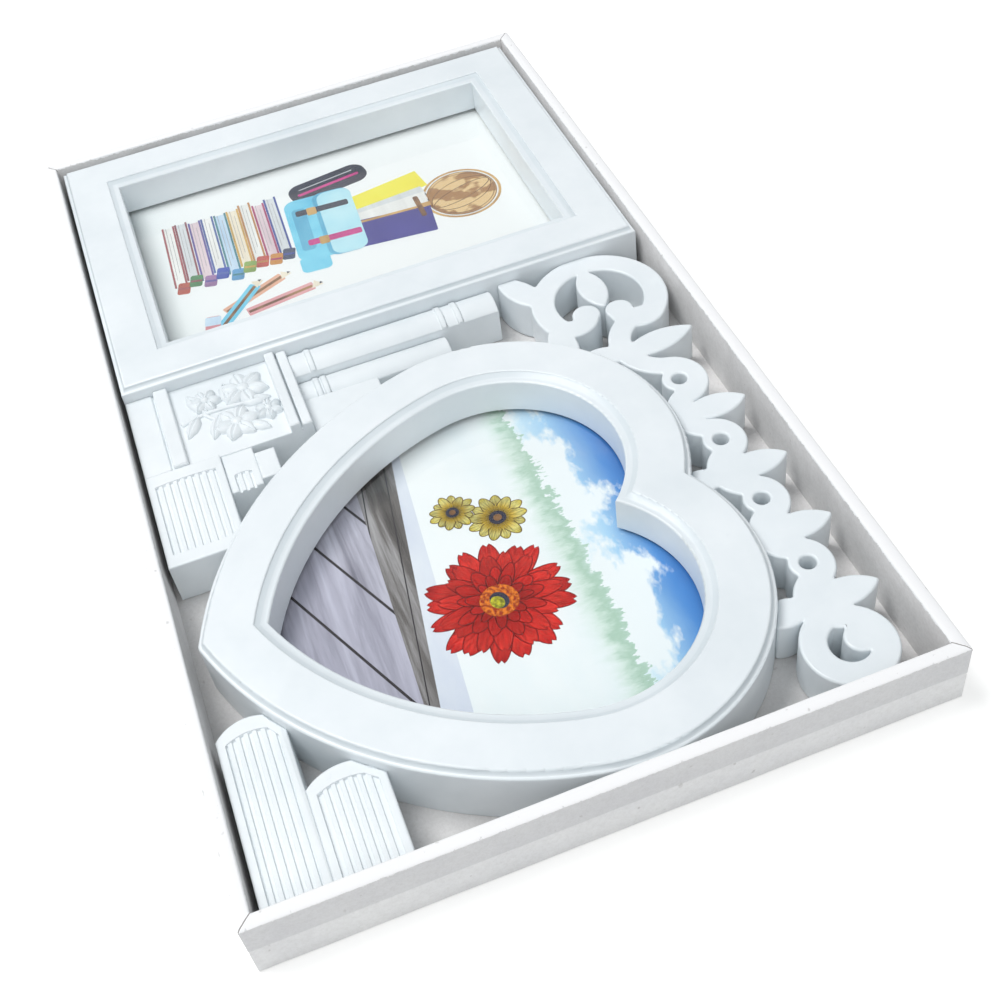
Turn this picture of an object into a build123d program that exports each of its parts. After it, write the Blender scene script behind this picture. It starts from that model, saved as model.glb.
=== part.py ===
from build123d import *

# A wall collage frame with a rectangular and a heart-shaped window, lying face up in its card tray.
# Millimetres. X runs along the frame, +Y is up on the wall and +Z points out of the show face.
# The origin is at the middle of the tray's underside.

import os
from math import acos, atan2, cos, degrees, radians, sin, sqrt

os.makedirs("parts", exist_ok=True)

# Card tray
tray_floor = 1.2
tray_wall = 4.0
tray_height = 21.3
tray_room_x = 2.7  # spare length around the frame, both ends together
tray_room_y = 3.3
tray_shift = 1.0  # the frame lies nearer to the tray's right end
tray_edge_round = 0.8

# Moulded section of both surrounds, from the outer edge to the window
frame_depth = 19.6
bead_width = 2.4
bead_drop = 1.6
bead_round = 0.7
band_foot = 0.9  # how far the step under the flat band stands out
band_round = 0.8
band_width = 12.8
band_inner_round = 0.5
ledge_width = 3.5
ledge_drop = 1.4
ledge_round = 0.7
window_depth = 13.1
outer_wall = 2.0
rabbet_wall = 1.8
skin = 2.2
cut_over = 1.0  # how far a cut runs past the face it opens
pick_room = 0.01  # spare height when edges and faces are picked by their height

# Paper size behind the rectangular window, and how far the window's edges lap over it
paper_width = 101.6
paper_height = 152.4
paper_lap_side = 2.85
paper_lap_end = 6.25
paper_room = 0.3

# Heart window: two lobe arcs and two side arcs, measured at the outer edge of the flat band
lobe_spread = 25.9  # each lobe's centre from the heart's middle line
lobe_rise = 10.2  # the lobes' centres above the frame's middle line
lobe_radius = 51.9
side_angle = 13.7  # where the side arc takes over, in degrees below the lobe's centre
side_radius = 114.0
tip_round = 3.0  # at the bead's outer edge
inner_tip_round = 0.8
heart_lip = 3.2

# Between the surrounds
relief_gap = 28.4
relief_wall = 2.0
relief_round = 0.6

# What sits behind each window
pane_thickness = 1.0
print_thickness = 0.3
board_thickness = 2.0

# Turn-buttons and their screws
swing_gap = 0.2
button_thickness = 1.2
button_width = 7.0
button_reach = 12.5  # from the pivot to the tongue's end
button_rib = 0.6
button_rib_width = 1.2
button_rib_length = 4.4
pivot_clearance = 0.08
screw_radius = 1.25
screw_bite = 6.0
screw_head_radius = 2.6
screw_head_height = 1.0
screw_head_round = 0.4
screw_tip_room = 0.4
cross_length_share = 0.55
cross_width = 0.6
cross_depth = 0.5
thread_room = 0.05
boss_radius = 3.0
boss_merge = 0.3

# Keyhole hangers
hanger_length = 22.0
hanger_width = 9.0
hanger_thickness = 1.2
hanger_corner = 2.0
hanger_screw_reach = 8.2
hanger_screw_radius = 1.0
hanger_head_radius = 2.0
hanger_boss_radius = 2.2
keyhole_radius = 2.5
keyhole_slot_radius = 1.1
keyhole_rise = 3.2
keyhole_drop = 0.9  # the round hole's centre below the plate's middle
hanger_settle = 0.2  # keeps the flat plate clear of the curved outer wall

# Lengths and heights that follow from these
rail_width = bead_width + band_width + ledge_width
rect_window_width = paper_width - 2 * paper_lap_side
rect_window_height = paper_height - 2 * paper_lap_end
rect_width = rect_window_width + 2 * rail_width
rect_height = rect_window_height + 2 * rail_width
heart_reach = lobe_spread + lobe_radius + bead_width
frame_length = rect_width + relief_gap + 2 * heart_reach
tray_inner_length = frame_length + tray_room_x
tray_inner_width = rect_height + tray_room_y
frame_left = tray_shift - frame_length / 2
rect_x = frame_left + rect_width / 2
rect_right = frame_left + rect_width
heart_x = rect_right + relief_gap + heart_reach
frame_right = heart_x + heart_reach
frame_high = rect_height / 2
frame_low = -frame_high
lobe_top = lobe_rise + lobe_radius + bead_width

back_z = tray_floor
top_z = back_z + frame_depth
bead_z = top_z - bead_drop
ledge_z = top_z - ledge_drop
pane_z = top_z - window_depth
print_z = pane_z - pane_thickness
board_z = print_z - print_thickness
board_back_z = board_z - board_thickness
button_z = board_back_z - swing_gap - button_thickness
screw_head_z = button_z - swing_gap - screw_head_height
hollow_z = top_z - skin


# Outlines, drawn in the sketch that is open. grow is measured outwards from the flat band's outer edge.
def rect_outline(grow, mode=Mode.ADD):
    with Locations((rect_x, 0)):
        Rectangle(
            rect_width - 2 * bead_width + 2 * grow,
            rect_height - 2 * bead_width + 2 * grow,
            mode=mode,
        )


def rect_rabbet(grow, mode=Mode.ADD):
    with Locations((rect_x, 0)):
        Rectangle(
            paper_width + 2 * paper_room + 2 * grow,
            paper_height + 2 * paper_room + 2 * grow,
            mode=mode,
        )


side_centre_x = lobe_spread + (lobe_radius - side_radius) * cos(radians(side_angle))
side_centre_y = lobe_rise - (lobe_radius - side_radius) * sin(radians(side_angle))
rabbet_grow = heart_lip - band_width - ledge_width


def lobe_point(grow, angle, hand=1):
    radius = lobe_radius + grow
    return (
        heart_x + hand * (lobe_spread + radius * cos(radians(angle))),
        lobe_rise + radius * sin(radians(angle)),
    )


def side_point(grow, angle, hand=1):
    radius = side_radius + grow
    return (
        heart_x + hand * (side_centre_x + radius * cos(radians(angle))),
        side_centre_y + radius * sin(radians(angle)),
    )


def notch_y(grow):
    return lobe_rise + sqrt((lobe_radius + grow) ** 2 - lobe_spread**2)


def heart_outline(grow, mode=Mode.ADD):
    notch_angle = degrees(acos(-lobe_spread / (lobe_radius + grow)))
    tip_radius = max(tip_round - bead_width + grow, inner_tip_round)
    inner = side_radius + grow - tip_radius
    tip_y = side_centre_y - sqrt(inner**2 - side_centre_x**2)
    tip_angle = degrees(atan2(tip_y - side_centre_y, -side_centre_x))
    with BuildLine() as path:
        for hand in (1, -1):
            ThreePointArc(
                lobe_point(grow, notch_angle, hand),
                lobe_point(grow, (notch_angle - side_angle) / 2, hand),
                lobe_point(grow, -side_angle, hand),
            )
            ThreePointArc(
                side_point(grow, -side_angle, hand),
                side_point(grow, (tip_angle - side_angle) / 2, hand),
                side_point(grow, tip_angle, hand),
            )
        ThreePointArc(
            side_point(grow, tip_angle, 1),
            (heart_x, tip_y - tip_radius),
            side_point(grow, tip_angle, -1),
        )
    make_face(path.edges(), mode=mode)


def heart_rabbet(grow, mode=Mode.ADD):
    heart_outline(rabbet_grow + grow, mode)


def edges_at(height):
    return edges().filter_by_position(Axis.Z, height - pick_room, height + pick_room)


def window_edges(height):
    level = faces().filter_by_position(Axis.Z, height - pick_room, height + pick_room)
    return level.sort_by(SortBy.AREA)[-1].inner_wires()[0].edges()


# The stepped moulding of one surround: bead, flat band, ledge and deep window wall on the show face,
# and behind it a channel, the rabbet for the pane and the screw bosses.
def surround(outline, rabbet, button_places, hanger_places):
    with BuildSketch(Plane.XY.offset(back_z)) as profile:
        outline(bead_width)
    extrude(profile.sketch, amount=bead_z - back_z)
    fillet(edges_at(bead_z), bead_round)
    with BuildSketch(Plane.XY.offset(back_z)) as profile:
        outline(band_foot)
    extrude(profile.sketch, amount=frame_depth)
    fillet(edges_at(top_z), band_round)
    with BuildSketch(Plane.XY.offset(ledge_z)) as profile:
        outline(-band_width)
    extrude(profile.sketch, amount=ledge_drop + cut_over, mode=Mode.SUBTRACT)
    with BuildSketch(Plane.XY.offset(back_z - cut_over)) as profile:
        outline(-band_width - ledge_width)
    extrude(profile.sketch, amount=frame_depth + 2 * cut_over, mode=Mode.SUBTRACT)
    fillet(window_edges(top_z), band_inner_round)
    fillet(window_edges(ledge_z), ledge_round)
    with BuildSketch(Plane.XY.offset(back_z - cut_over)) as profile:
        rabbet(0)
    extrude(profile.sketch, amount=pane_z - back_z + cut_over, mode=Mode.SUBTRACT)
    with BuildSketch(Plane.XY.offset(back_z - cut_over)) as profile:
        rabbet(rabbet_wall)
    extrude(profile.sketch, amount=board_back_z - back_z + cut_over, mode=Mode.SUBTRACT)
    with BuildSketch(Plane.XY.offset(back_z - cut_over)) as profile:
        outline(bead_width - outer_wall)
        rabbet(rabbet_wall, mode=Mode.SUBTRACT)
    extrude(profile.sketch, amount=hollow_z - back_z + cut_over, mode=Mode.SUBTRACT)
    for places, boss, screw in (
        (button_places, boss_radius, screw_radius),
        (hanger_places, hanger_boss_radius, hanger_screw_radius),
    ):
        with BuildSketch(Plane.XY.offset(board_back_z)) as profile:
            with Locations(places):
                Circle(boss)
        extrude(profile.sketch, amount=hollow_z - board_back_z + boss_merge)
        with BuildSketch(Plane.XY.offset(board_back_z - cut_over)) as profile:
            with Locations(places):
                Circle(screw + thread_room)
        extrude(profile.sketch, amount=screw_bite + cut_over, mode=Mode.SUBTRACT)


# Where the turn-buttons pivot, as place and the direction in which the tongue points when closed
pivot_out = rabbet_wall + boss_radius - boss_merge  # from the rabbet to the pivot
rect_pivot_x = paper_width / 2 + paper_room + pivot_out
rect_pivot_y = paper_height / 2 + paper_room + pivot_out
rect_buttons = {
    "rect_button_left": ((rect_x - rect_pivot_x, 0), 0),
    "rect_button_right": ((rect_x + rect_pivot_x, 0), 180),
    "rect_button_top": ((rect_x, rect_pivot_y), 270),
    "rect_button_bottom": ((rect_x, -rect_pivot_y), 90),
}
lobe_button_angle = 12
side_button_angle = -48
heart_pivot = rabbet_grow + pivot_out
heart_buttons = {
    "heart_button_left": (lobe_point(heart_pivot, lobe_button_angle, -1), -lobe_button_angle),
    "heart_button_right": (lobe_point(heart_pivot, lobe_button_angle), 180 + lobe_button_angle),
    "heart_button_lower_left": (
        side_point(heart_pivot, side_button_angle, -1),
        -side_button_angle,
    ),
    "heart_button_lower_right": (
        side_point(heart_pivot, side_button_angle),
        180 + side_button_angle,
    ),
}

# The hangers hang level: one upright in the left rail, one lying in the channel over the right lobe
channel_middle_grow = (rabbet_grow + rabbet_wall + bead_width - outer_wall) / 2
hanger_right_place = lobe_point(channel_middle_grow - hanger_settle, 90)
channel_middle_x = (paper_width / 2 + paper_room + rabbet_wall + rect_width / 2 - outer_wall) / 2
hanger_left_place = (rect_x - channel_middle_x, hanger_right_place[1])
hanger_left_screws = [
    (hanger_left_place[0], hanger_left_place[1] + reach)
    for reach in (-hanger_screw_reach, hanger_screw_reach)
]
hanger_right_screws = [
    (hanger_right_place[0] + reach, hanger_right_place[1])
    for reach in (-hanger_screw_reach, hanger_screw_reach)
]

# Rectangular surround
with BuildPart() as rect_frame:
    surround(
        rect_outline,
        rect_rabbet,
        [place for place, turn in rect_buttons.values()],
        hanger_left_screws,
    )
rect_frame.part.label = "rect_frame"
export_step(rect_frame.part, "parts/rect_frame.step")

# Heart surround
with BuildPart() as heart_frame:
    surround(
        heart_outline,
        heart_rabbet,
        [place for place, turn in heart_buttons.values()],
        hanger_right_screws,
    )
heart_frame.part.label = "heart_frame"
export_step(heart_frame.part, "parts/heart_frame.step")

# Reliefs fill the room between the surrounds. Each takes its sides from them.
def relief(outline, top):
    with BuildSketch(Plane.XY.offset(back_z)) as profile:
        outline(0)
        rect_outline(bead_width, mode=Mode.SUBTRACT)
        heart_outline(bead_width, mode=Mode.SUBTRACT)
    extrude(profile.sketch, amount=top - back_z)


def hollow(outline, top):
    with BuildSketch(Plane.XY.offset(back_z - cut_over)) as profile:
        outline(-relief_wall)
        rect_outline(bead_width + relief_wall, mode=Mode.SUBTRACT)
        heart_outline(bead_width + relief_wall, mode=Mode.SUBTRACT)
    extrude(
        profile.sketch, amount=top - relief_wall - back_z + cut_over, mode=Mode.SUBTRACT
    )


def box_outline(left, right, low, high):
    def draw(grow, mode=Mode.ADD):
        with Locations(((left + right) / 2, (low + high) / 2)):
            Rectangle(right - left + 2 * grow, high - low + 2 * grow, mode=mode)

    return draw


# Flower box: plinth, base strip, panel and a cornice of two strips
box_width = 36.2
box_height = 53.35
plinth_height = 8.65
base_strip_height = 4.6
panel_height = 33.5
cornice_height = 3.2
strip_gap = 0.6
plinth_top = 15.6
base_strip_top = 17.0
panel_top = 14.8
lower_cornice_top = 17.8
upper_cornice_top = 16.8

box_right = rect_right + box_width
shelf_y = frame_low + box_height
base_strip_low = frame_low + plinth_height + strip_gap
panel_low = base_strip_low + base_strip_height
lower_cornice_high = shelf_y - cornice_height - strip_gap
with BuildPart() as flower_box:
    relief(box_outline(rect_right, box_right, frame_low, shelf_y), panel_top)
    for low, high, top in (
        (frame_low, frame_low + plinth_height, plinth_top),
        (base_strip_low, panel_low, base_strip_top),
        (lower_cornice_high - cornice_height, lower_cornice_high, lower_cornice_top),
        (shelf_y - cornice_height, shelf_y, upper_cornice_top),
    ):
        relief(box_outline(rect_right, box_right, low, high), top)
        fillet(edges_at(top), relief_round)
    hollow(box_outline(rect_right, box_right, frame_low, shelf_y), panel_top)
flower_box.part.label = "flower_box"
export_step(flower_box.part, "parts/flower_box.step")

# Spray of flowers on the box's panel. Places are shares of the panel, petals shares of a blossom.
petal_count = 6
petal_top = 16.5
flower_eye_top = 17.1
spray_leaf_top = 15.9
stem_width = 1.4
stem_top = 15.4
spray_round = 0.4
petal_length_share = 0.62
petal_width_share = 0.47
petal_place_share = 0.62
flower_eye_share = 0.3
blossoms = [
    ((0.27, 0.7), 7.0, 10),
    ((0.7, 0.52), 6.4, 35),
    ((0.62, 0.82), 4.0, 0),
    ((0.3, 0.33), 4.6, 20),
]
spray_leaf_width = 4.6
spray_leaf_shares = [
    ((0.46, 0.6), (0.47, 0.95)),
    ((0.42, 0.5), (0.08, 0.48)),
    ((0.5, 0.4), (0.85, 0.25)),
    ((0.45, 0.3), (0.08, 0.12)),
    ((0.43, 0.22), (0.7, 0.07)),
    ((0.72, 0.62), (0.94, 0.9)),
]
stem_shares = [(0.5, 0.02), (0.42, 0.35), (0.47, 0.7)]
side_stem_shares = [(0.45, 0.25), (0.58, 0.32), (0.66, 0.45)]


def leaf(base, tip, width):
    along = Vector(*tip) - Vector(*base)
    across = Vector(-along.Y, along.X).normalized() * (width / 2)
    middle = Vector(*base) + along / 2
    with BuildLine() as path:
        ThreePointArc(base, middle + across, tip)
        ThreePointArc(tip, middle - across, base)
    make_face(path.edges())


def panel_point(share):
    return (rect_right + share[0] * box_width, panel_low + share[1] * panel_height)


with BuildPart() as flower_spray:
    with BuildSketch(Plane.XY.offset(panel_top)):
        for shares in (stem_shares, side_stem_shares):
            with BuildLine(mode=Mode.PRIVATE) as stem:
                ThreePointArc(*[panel_point(share) for share in shares])
            trace(stem.edges(), line_width=stem_width)
    extrude(amount=stem_top - panel_top)
    with BuildSketch(Plane.XY.offset(panel_top)):
        for base, tip in spray_leaf_shares:
            leaf(panel_point(base), panel_point(tip), spray_leaf_width)
    extrude(amount=spray_leaf_top - panel_top)
    with BuildSketch(Plane.XY.offset(panel_top)):
        for share, size, turn in blossoms:
            with Locations(panel_point(share)):
                with PolarLocations(size * petal_place_share, petal_count, turn):
                    Ellipse(size * petal_length_share, size * petal_width_share)
    extrude(amount=petal_top - panel_top)
    with BuildSketch(Plane.XY.offset(panel_top)):
        for share, size, turn in blossoms:
            with Locations(panel_point(share)):
                Circle(size * flower_eye_share)
    extrude(amount=flower_eye_top - panel_top)
    fillet(edges_at(flower_eye_top), spray_round)
flower_spray.part.label = "flower_spray"
export_step(flower_spray.part, "parts/flower_spray.step")

# Three books standing on the box, their spines towards the viewer
tall_book_width = 11.3
tall_book_length = 70.1
tall_book_top = 15.9
tall_book_side = 13.4  # height where the rounded spine meets its sides
spine_band_width = 1.8
spine_band_proud = 0.5
spine_band_shares = [0.08, 0.72, 0.8]
short_book_width = 9.6
short_book_length = 50.5
short_book_top = 12.6
short_book_side = 10.6
label_line_shares = [0.1, 0.15]
thin_book_length = 24.8
thin_book_top = 12.0

tall_book_right = rect_right + tall_book_width
tall_book_high = shelf_y + tall_book_length
short_book_right = tall_book_right + short_book_width
thin_book_right = box_right


def rounded_spine(left, right, length, side, top, bands, proud):
    with BuildSketch(Plane.XZ.offset(-shelf_y)) as profile:
        spine_profile(left, right, side, top)
    extrude(profile.sketch, amount=-length)
    for share in bands:
        with BuildSketch(Plane.XZ.offset(-shelf_y - share * length)) as profile:
            spine_profile(left, right, side + proud, top + proud)
        extrude(profile.sketch, amount=-spine_band_width)


def spine_profile(left, right, side, top):
    with BuildLine() as path:
        Polyline((left, side), (left, back_z), (right, back_z), (right, side))
        ThreePointArc((right, side), ((left + right) / 2, top), (left, side))
    make_face(path.edges())


with BuildPart() as tall_book:
    rounded_spine(
        rect_right,
        tall_book_right,
        tall_book_length,
        tall_book_side,
        tall_book_top,
        spine_band_shares,
        spine_band_proud,
    )
    hollow(
        box_outline(rect_right, tall_book_right, shelf_y, shelf_y + tall_book_length),
        tall_book_side,
    )
tall_book.part.label = "tall_book"
export_step(tall_book.part, "parts/tall_book.step")

with BuildPart() as short_book:
    rounded_spine(
        tall_book_right,
        short_book_right,
        short_book_length,
        short_book_side,
        short_book_top,
        label_line_shares,
        spine_band_proud,
    )
    hollow(
        box_outline(tall_book_right, short_book_right, shelf_y, shelf_y + short_book_length),
        short_book_side,
    )
    with BuildSketch(Plane.XY.offset(back_z - cut_over)) as profile:
        heart_outline(bead_width)
    extrude(profile.sketch, amount=frame_depth, mode=Mode.SUBTRACT)
short_book.part.label = "short_book"
export_step(short_book.part, "parts/short_book.step")

with BuildPart() as thin_book:
    relief(
        box_outline(short_book_right, thin_book_right, shelf_y, shelf_y + thin_book_length),
        thin_book_top,
    )
    fillet(edges_at(thin_book_top), relief_round)
thin_book.part.label = "thin_book"
export_step(thin_book.part, "parts/thin_book.step")


# Books lying flat show their page edges: a sunk panel with ridges running along it
page_recess = 1.0
page_ridge = 0.6
page_pitch = 2.25
page_ridge_share = 0.55
cover_edge = 2.3  # thickness of the covers above and below the pages
lying_top = 15.9


def book_outline(left, right, low, high, bulge):
    def draw(grow, mode=Mode.ADD):
        middle = (low + high) / 2
        with BuildLine() as path:
            end = (left + bulge - grow, low - grow)
            start = (left + bulge - grow, high + grow)
            Polyline(end, (right + grow, low - grow), (right + grow, high + grow), start)
            ThreePointArc(start, (left - grow, middle), end)
        make_face(path.edges(), mode=mode)

    return draw


def lying_book(outline, pages, middle_y, thickness, top):
    relief(outline, top)
    fillet(edges_at(top), relief_round)
    hollow(outline, top - page_recess)
    with BuildSketch(Plane.XY.offset(top - page_recess)) as profile:
        pages(0)
        heart_outline(bead_width + cover_edge, mode=Mode.SUBTRACT)
    extrude(profile.sketch, amount=page_recess + cut_over, mode=Mode.SUBTRACT)
    ridge_count = int((thickness - 2 * cover_edge) / page_pitch)
    with BuildSketch(Plane.XY.offset(top - page_recess - relief_wall / 2)) as profile:
        with Locations((heart_x, middle_y)):
            with GridLocations(0, page_pitch, 1, ridge_count):
                Rectangle(frame_length, page_pitch * page_ridge_share)
        pages(0, Mode.INTERSECT)
        outline(0, Mode.INTERSECT)
        heart_outline(bead_width + cover_edge, mode=Mode.SUBTRACT)
    extrude(profile.sketch, amount=relief_wall / 2 + page_ridge)


left_book_length = 38.5
left_book_thickness = 23.35
left_book_spine = 4.6
upper_book_length = 31.6
upper_book_thickness = 20.2
upper_book_bulge = 4.0
lower_book_length = 54.8
lower_book_thickness = 18.15
lower_book_bulge = 4.5
book_spine = 4.6
right_book_room = 1.1  # the lying books stop short of the frame's right end
page_bulge = 1.9
small_book_step = 2.9
small_book_top = 14.6
small_upper_length = 11.6
small_upper_thickness = 6.3
small_lower_length = 16.5
small_lower_thickness = 10.0
small_book_spine = 9.0
small_page_bulge = 0.6

left_book_top_y = frame_low + left_book_thickness
left_book_right = box_right + left_book_length
with BuildPart() as lying_book_left:
    lying_book(
        box_outline(box_right, left_book_right, frame_low, left_book_top_y),
        book_outline(
            box_right + left_book_spine,
            left_book_right - left_book_spine,
            frame_low + cover_edge,
            left_book_top_y - cover_edge,
            small_page_bulge,
        ),
        (frame_low + left_book_top_y) / 2,
        left_book_thickness,
        lying_top,
    )
lying_book_left.part.label = "lying_book_left"
export_step(lying_book_left.part, "parts/lying_book_left.step")

right_books_end = frame_right - right_book_room
lower_book_top_y = frame_low + lower_book_thickness
lower_book_left = right_books_end - lower_book_length
with BuildPart() as lying_book_lower:
    lying_book(
        book_outline(
            lower_book_left, right_books_end, frame_low, lower_book_top_y, lower_book_bulge
        ),
        book_outline(
            lower_book_left + book_spine,
            right_books_end + cut_over,
            frame_low + cover_edge,
            lower_book_top_y - cover_edge,
            page_bulge,
        ),
        (frame_low + lower_book_top_y) / 2,
        lower_book_thickness,
        lying_top,
    )
lying_book_lower.part.label = "lying_book_lower"
export_step(lying_book_lower.part, "parts/lying_book_lower.step")

upper_book_top_y = lower_book_top_y + upper_book_thickness
upper_book_left = right_books_end - upper_book_length
with BuildPart() as lying_book_upper:
    lying_book(
        book_outline(
            upper_book_left, right_books_end, lower_book_top_y, upper_book_top_y, upper_book_bulge
        ),
        book_outline(
            upper_book_left + book_spine,
            right_books_end + cut_over,
            lower_book_top_y + cover_edge,
            upper_book_top_y - cover_edge,
            page_bulge,
        ),
        (lower_book_top_y + upper_book_top_y) / 2,
        upper_book_thickness,
        lying_top,
    )
lying_book_upper.part.label = "lying_book_upper"
export_step(lying_book_upper.part, "parts/lying_book_upper.step")

small_lower_top_y = left_book_top_y + small_lower_thickness
with BuildPart() as small_book_lower:
    lying_book(
        box_outline(
            box_right, box_right + small_lower_length, left_book_top_y, small_lower_top_y
        ),
        book_outline(
            box_right + small_book_spine,
            box_right + small_lower_length + cut_over,
            left_book_top_y + cover_edge,
            small_lower_top_y - cover_edge,
            small_page_bulge,
        ),
        (left_book_top_y + small_lower_top_y) / 2,
        small_lower_thickness,
        small_book_top,
    )
small_book_lower.part.label = "small_book_lower"
export_step(small_book_lower.part, "parts/small_book_lower.step")

small_upper_left = box_right + small_book_step
with BuildPart() as small_book_upper:
    relief(
        box_outline(
            small_upper_left,
            small_upper_left + small_upper_length,
            small_lower_top_y,
            small_lower_top_y + small_upper_thickness,
        ),
        small_book_top,
    )
    fillet(edges_at(small_book_top), relief_round)
small_book_upper.part.label = "small_book_upper"
export_step(small_book_upper.part, "parts/small_book_upper.step")


# Openwork border: a scroll beside the rectangle and a vine along the top, both clear of the tray floor
border_top = 15.2
border_length = frame_right - rect_right
crest_room = frame_high - lobe_top
scroll_room = frame_high - tall_book_high

# The scroll in shares of the room above the tall book, its leaves in shares of its own radius
scroll_centre_share = (0.1165, 0.5785)
scroll_radius_share = 0.3417
scroll_stroke_share = 0.1486
scroll_curl_share = 0.1021
scroll_start_angle = 45
scroll_sweep = 245
curl_turn = 150
scroll_leaf_shares = [
    ((-0.888, 0.0), (0.241, 0.0)),
    ((-0.169, -0.866), (-1.4, -1.47)),
    ((0.19, -0.945), (1.575, -1.103)),
]

# The vine in shares of the border's length and of the room above the heart's lobes
vine_stroke_share = 0.3064
eye_radius_share = 0.1905
berry_radius_share = 0.2236
berry_hole_share = 0.0952
leaf_width_share = 0.3934
vine_curl_share = 0.414
vine_inner_curl_share = 0.2277
vine_shares = [(0.264, -0.05), (0.322, 0.35), (0.396, 0.35), (0.481, 0.35), (0.539, 0.35)]
vine_shares += [(0.616, 0.35), (0.677, 0.35), (0.751, 0.35), (0.812, 0.35), (0.885, 0.35)]
vine_shares += [(0.947, -0.1)]
berry_shares = [(0.359, 0.36), (0.51, 0.36), (0.646, 0.36), (0.782, 0.38)]
leaf_shares = [
    ((0.269, -0.15), (0.25, 0.95)),
    ((0.4385, 0.1), (0.4385, 0.98)),
    ((0.5775, 0.12), (0.5775, 0.98)),
    ((0.714, 0.1), (0.714, 0.98)),
    ((0.8485, 0.1), (0.8485, 0.97)),
    ((0.259, -0.02), (0.255, -0.7)),
    ((0.5775, 0.15), (0.5775, -0.5)),
    ((0.8485, 0.15), (0.8485, -0.5)),
]
scroll_x = rect_right + scroll_centre_share[0] * border_length
scroll_y = tall_book_high + scroll_centre_share[1] * scroll_room
scroll_radius = scroll_radius_share * scroll_room
scroll_curl = scroll_curl_share * scroll_room
eye_radius = eye_radius_share * crest_room
leaf_width = leaf_width_share * crest_room


def scroll_point(share):
    return (scroll_x + share[0] * scroll_radius, scroll_y + share[1] * scroll_radius)


def vine_point(share):
    return (rect_right + share[0] * border_length, lobe_top + share[1] * crest_room)


with BuildPart() as scroll_border:
    with BuildSketch(Plane.XY.offset(back_z)):
        with BuildLine(mode=Mode.PRIVATE) as scroll:
            round_arc = CenterArc(
                (scroll_x, scroll_y), scroll_radius, scroll_start_angle, scroll_sweep
            )
            head_arc = JernArc(round_arc @ 0, round_arc % 0 * -1, scroll_curl, -curl_turn)
            foot_arc = JernArc(round_arc @ 1, round_arc % 1, scroll_curl, curl_turn)
        for edge in scroll.edges():
            trace(edge, line_width=scroll_stroke_share * scroll_room)
        with BuildLine(mode=Mode.PRIVATE) as vine:
            places = [vine_point(share) for share in vine_shares]
            bend = ThreePointArc(round_arc @ 0, places[0], places[1])
            for place in places[2:]:
                bend = TangentArc(bend @ 1, place, tangent=bend % 1)
            bend = JernArc(bend @ 1, bend % 1, vine_curl_share * crest_room, -90)
            end_arc = JernArc(
                bend @ 1, bend % 1, vine_inner_curl_share * crest_room, -curl_turn
            )
        for edge in vine.edges():
            trace(edge, line_width=vine_stroke_share * crest_room)
        with Locations(head_arc @ 1, foot_arc @ 1, end_arc @ 1):
            Circle(eye_radius)
        for base, tip in scroll_leaf_shares:
            leaf(scroll_point(base), scroll_point(tip), leaf_width)
        for base, tip in leaf_shares:
            leaf(vine_point(base), vine_point(tip), leaf_width)
        with Locations([vine_point(share) for share in berry_shares]):
            Circle(berry_radius_share * crest_room)
            Circle(berry_hole_share * crest_room, mode=Mode.SUBTRACT)
        rect_outline(bead_width, mode=Mode.SUBTRACT)
        heart_outline(bead_width, mode=Mode.SUBTRACT)
    extrude(amount=border_top - back_z)
scroll_border.part.label = "scroll_border"
export_step(scroll_border.part, "parts/scroll_border.step")


# What lies behind each window: pane, printed insert and backing board, all of the paper's size
def rect_paper():
    with Locations((rect_x, 0)):
        Rectangle(paper_width, paper_height)


def heart_paper():
    heart_outline(rabbet_grow - paper_room)


for window, paper in (("rect", rect_paper), ("heart", heart_paper)):
    for layer, low, high in (
        ("pane", print_z, pane_z),
        ("print", board_z, print_z),
        ("backing", board_back_z, board_z),
    ):
        with BuildPart() as sheet:
            with BuildSketch(Plane.XY.offset(low)):
                paper()
            extrude(amount=high - low)
        sheet.part.label = f"{window}_{layer}"
        export_step(sheet.part, f"parts/{window}_{layer}.step")


# Turn-buttons: a rounded tongue with a grip rib, over its screw
for name, (place, turn) in {**rect_buttons, **heart_buttons}.items():
    button_plane = Plane(
        origin=(place[0], place[1], button_z), x_dir=(cos(radians(turn)), sin(radians(turn)), 0)
    )
    with BuildPart() as turn_button:
        with BuildSketch(button_plane):
            with Locations(((button_reach - button_width / 2) / 2, 0)):
                SlotOverall(button_reach + button_width / 2, button_width)
            Circle(screw_radius + pivot_clearance, mode=Mode.SUBTRACT)
        extrude(amount=button_thickness)
        with BuildSketch(button_plane):
            with Locations((button_reach - button_width / 2, 0)):
                Rectangle(button_rib_width, button_rib_length)
        extrude(amount=-button_rib)
    turn_button.part.label = name
    export_step(turn_button.part, f"parts/{name}.step")


# Screws: a pan head with a cross recess under the part it holds, and a shank up into its boss
def screws():
    for name, (place, turn) in {**rect_buttons, **heart_buttons}.items():
        yield f"{name}_screw", place, screw_head_z, screw_radius, screw_head_radius
    hanger_head_z = board_back_z - hanger_thickness - screw_head_height
    for side, places in (("left", hanger_left_screws), ("right", hanger_right_screws)):
        for end, place in zip(("a", "b"), places):
            name = f"hanger_{side}_screw_{end}"
            yield name, place, hanger_head_z, hanger_screw_radius, hanger_head_radius


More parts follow.
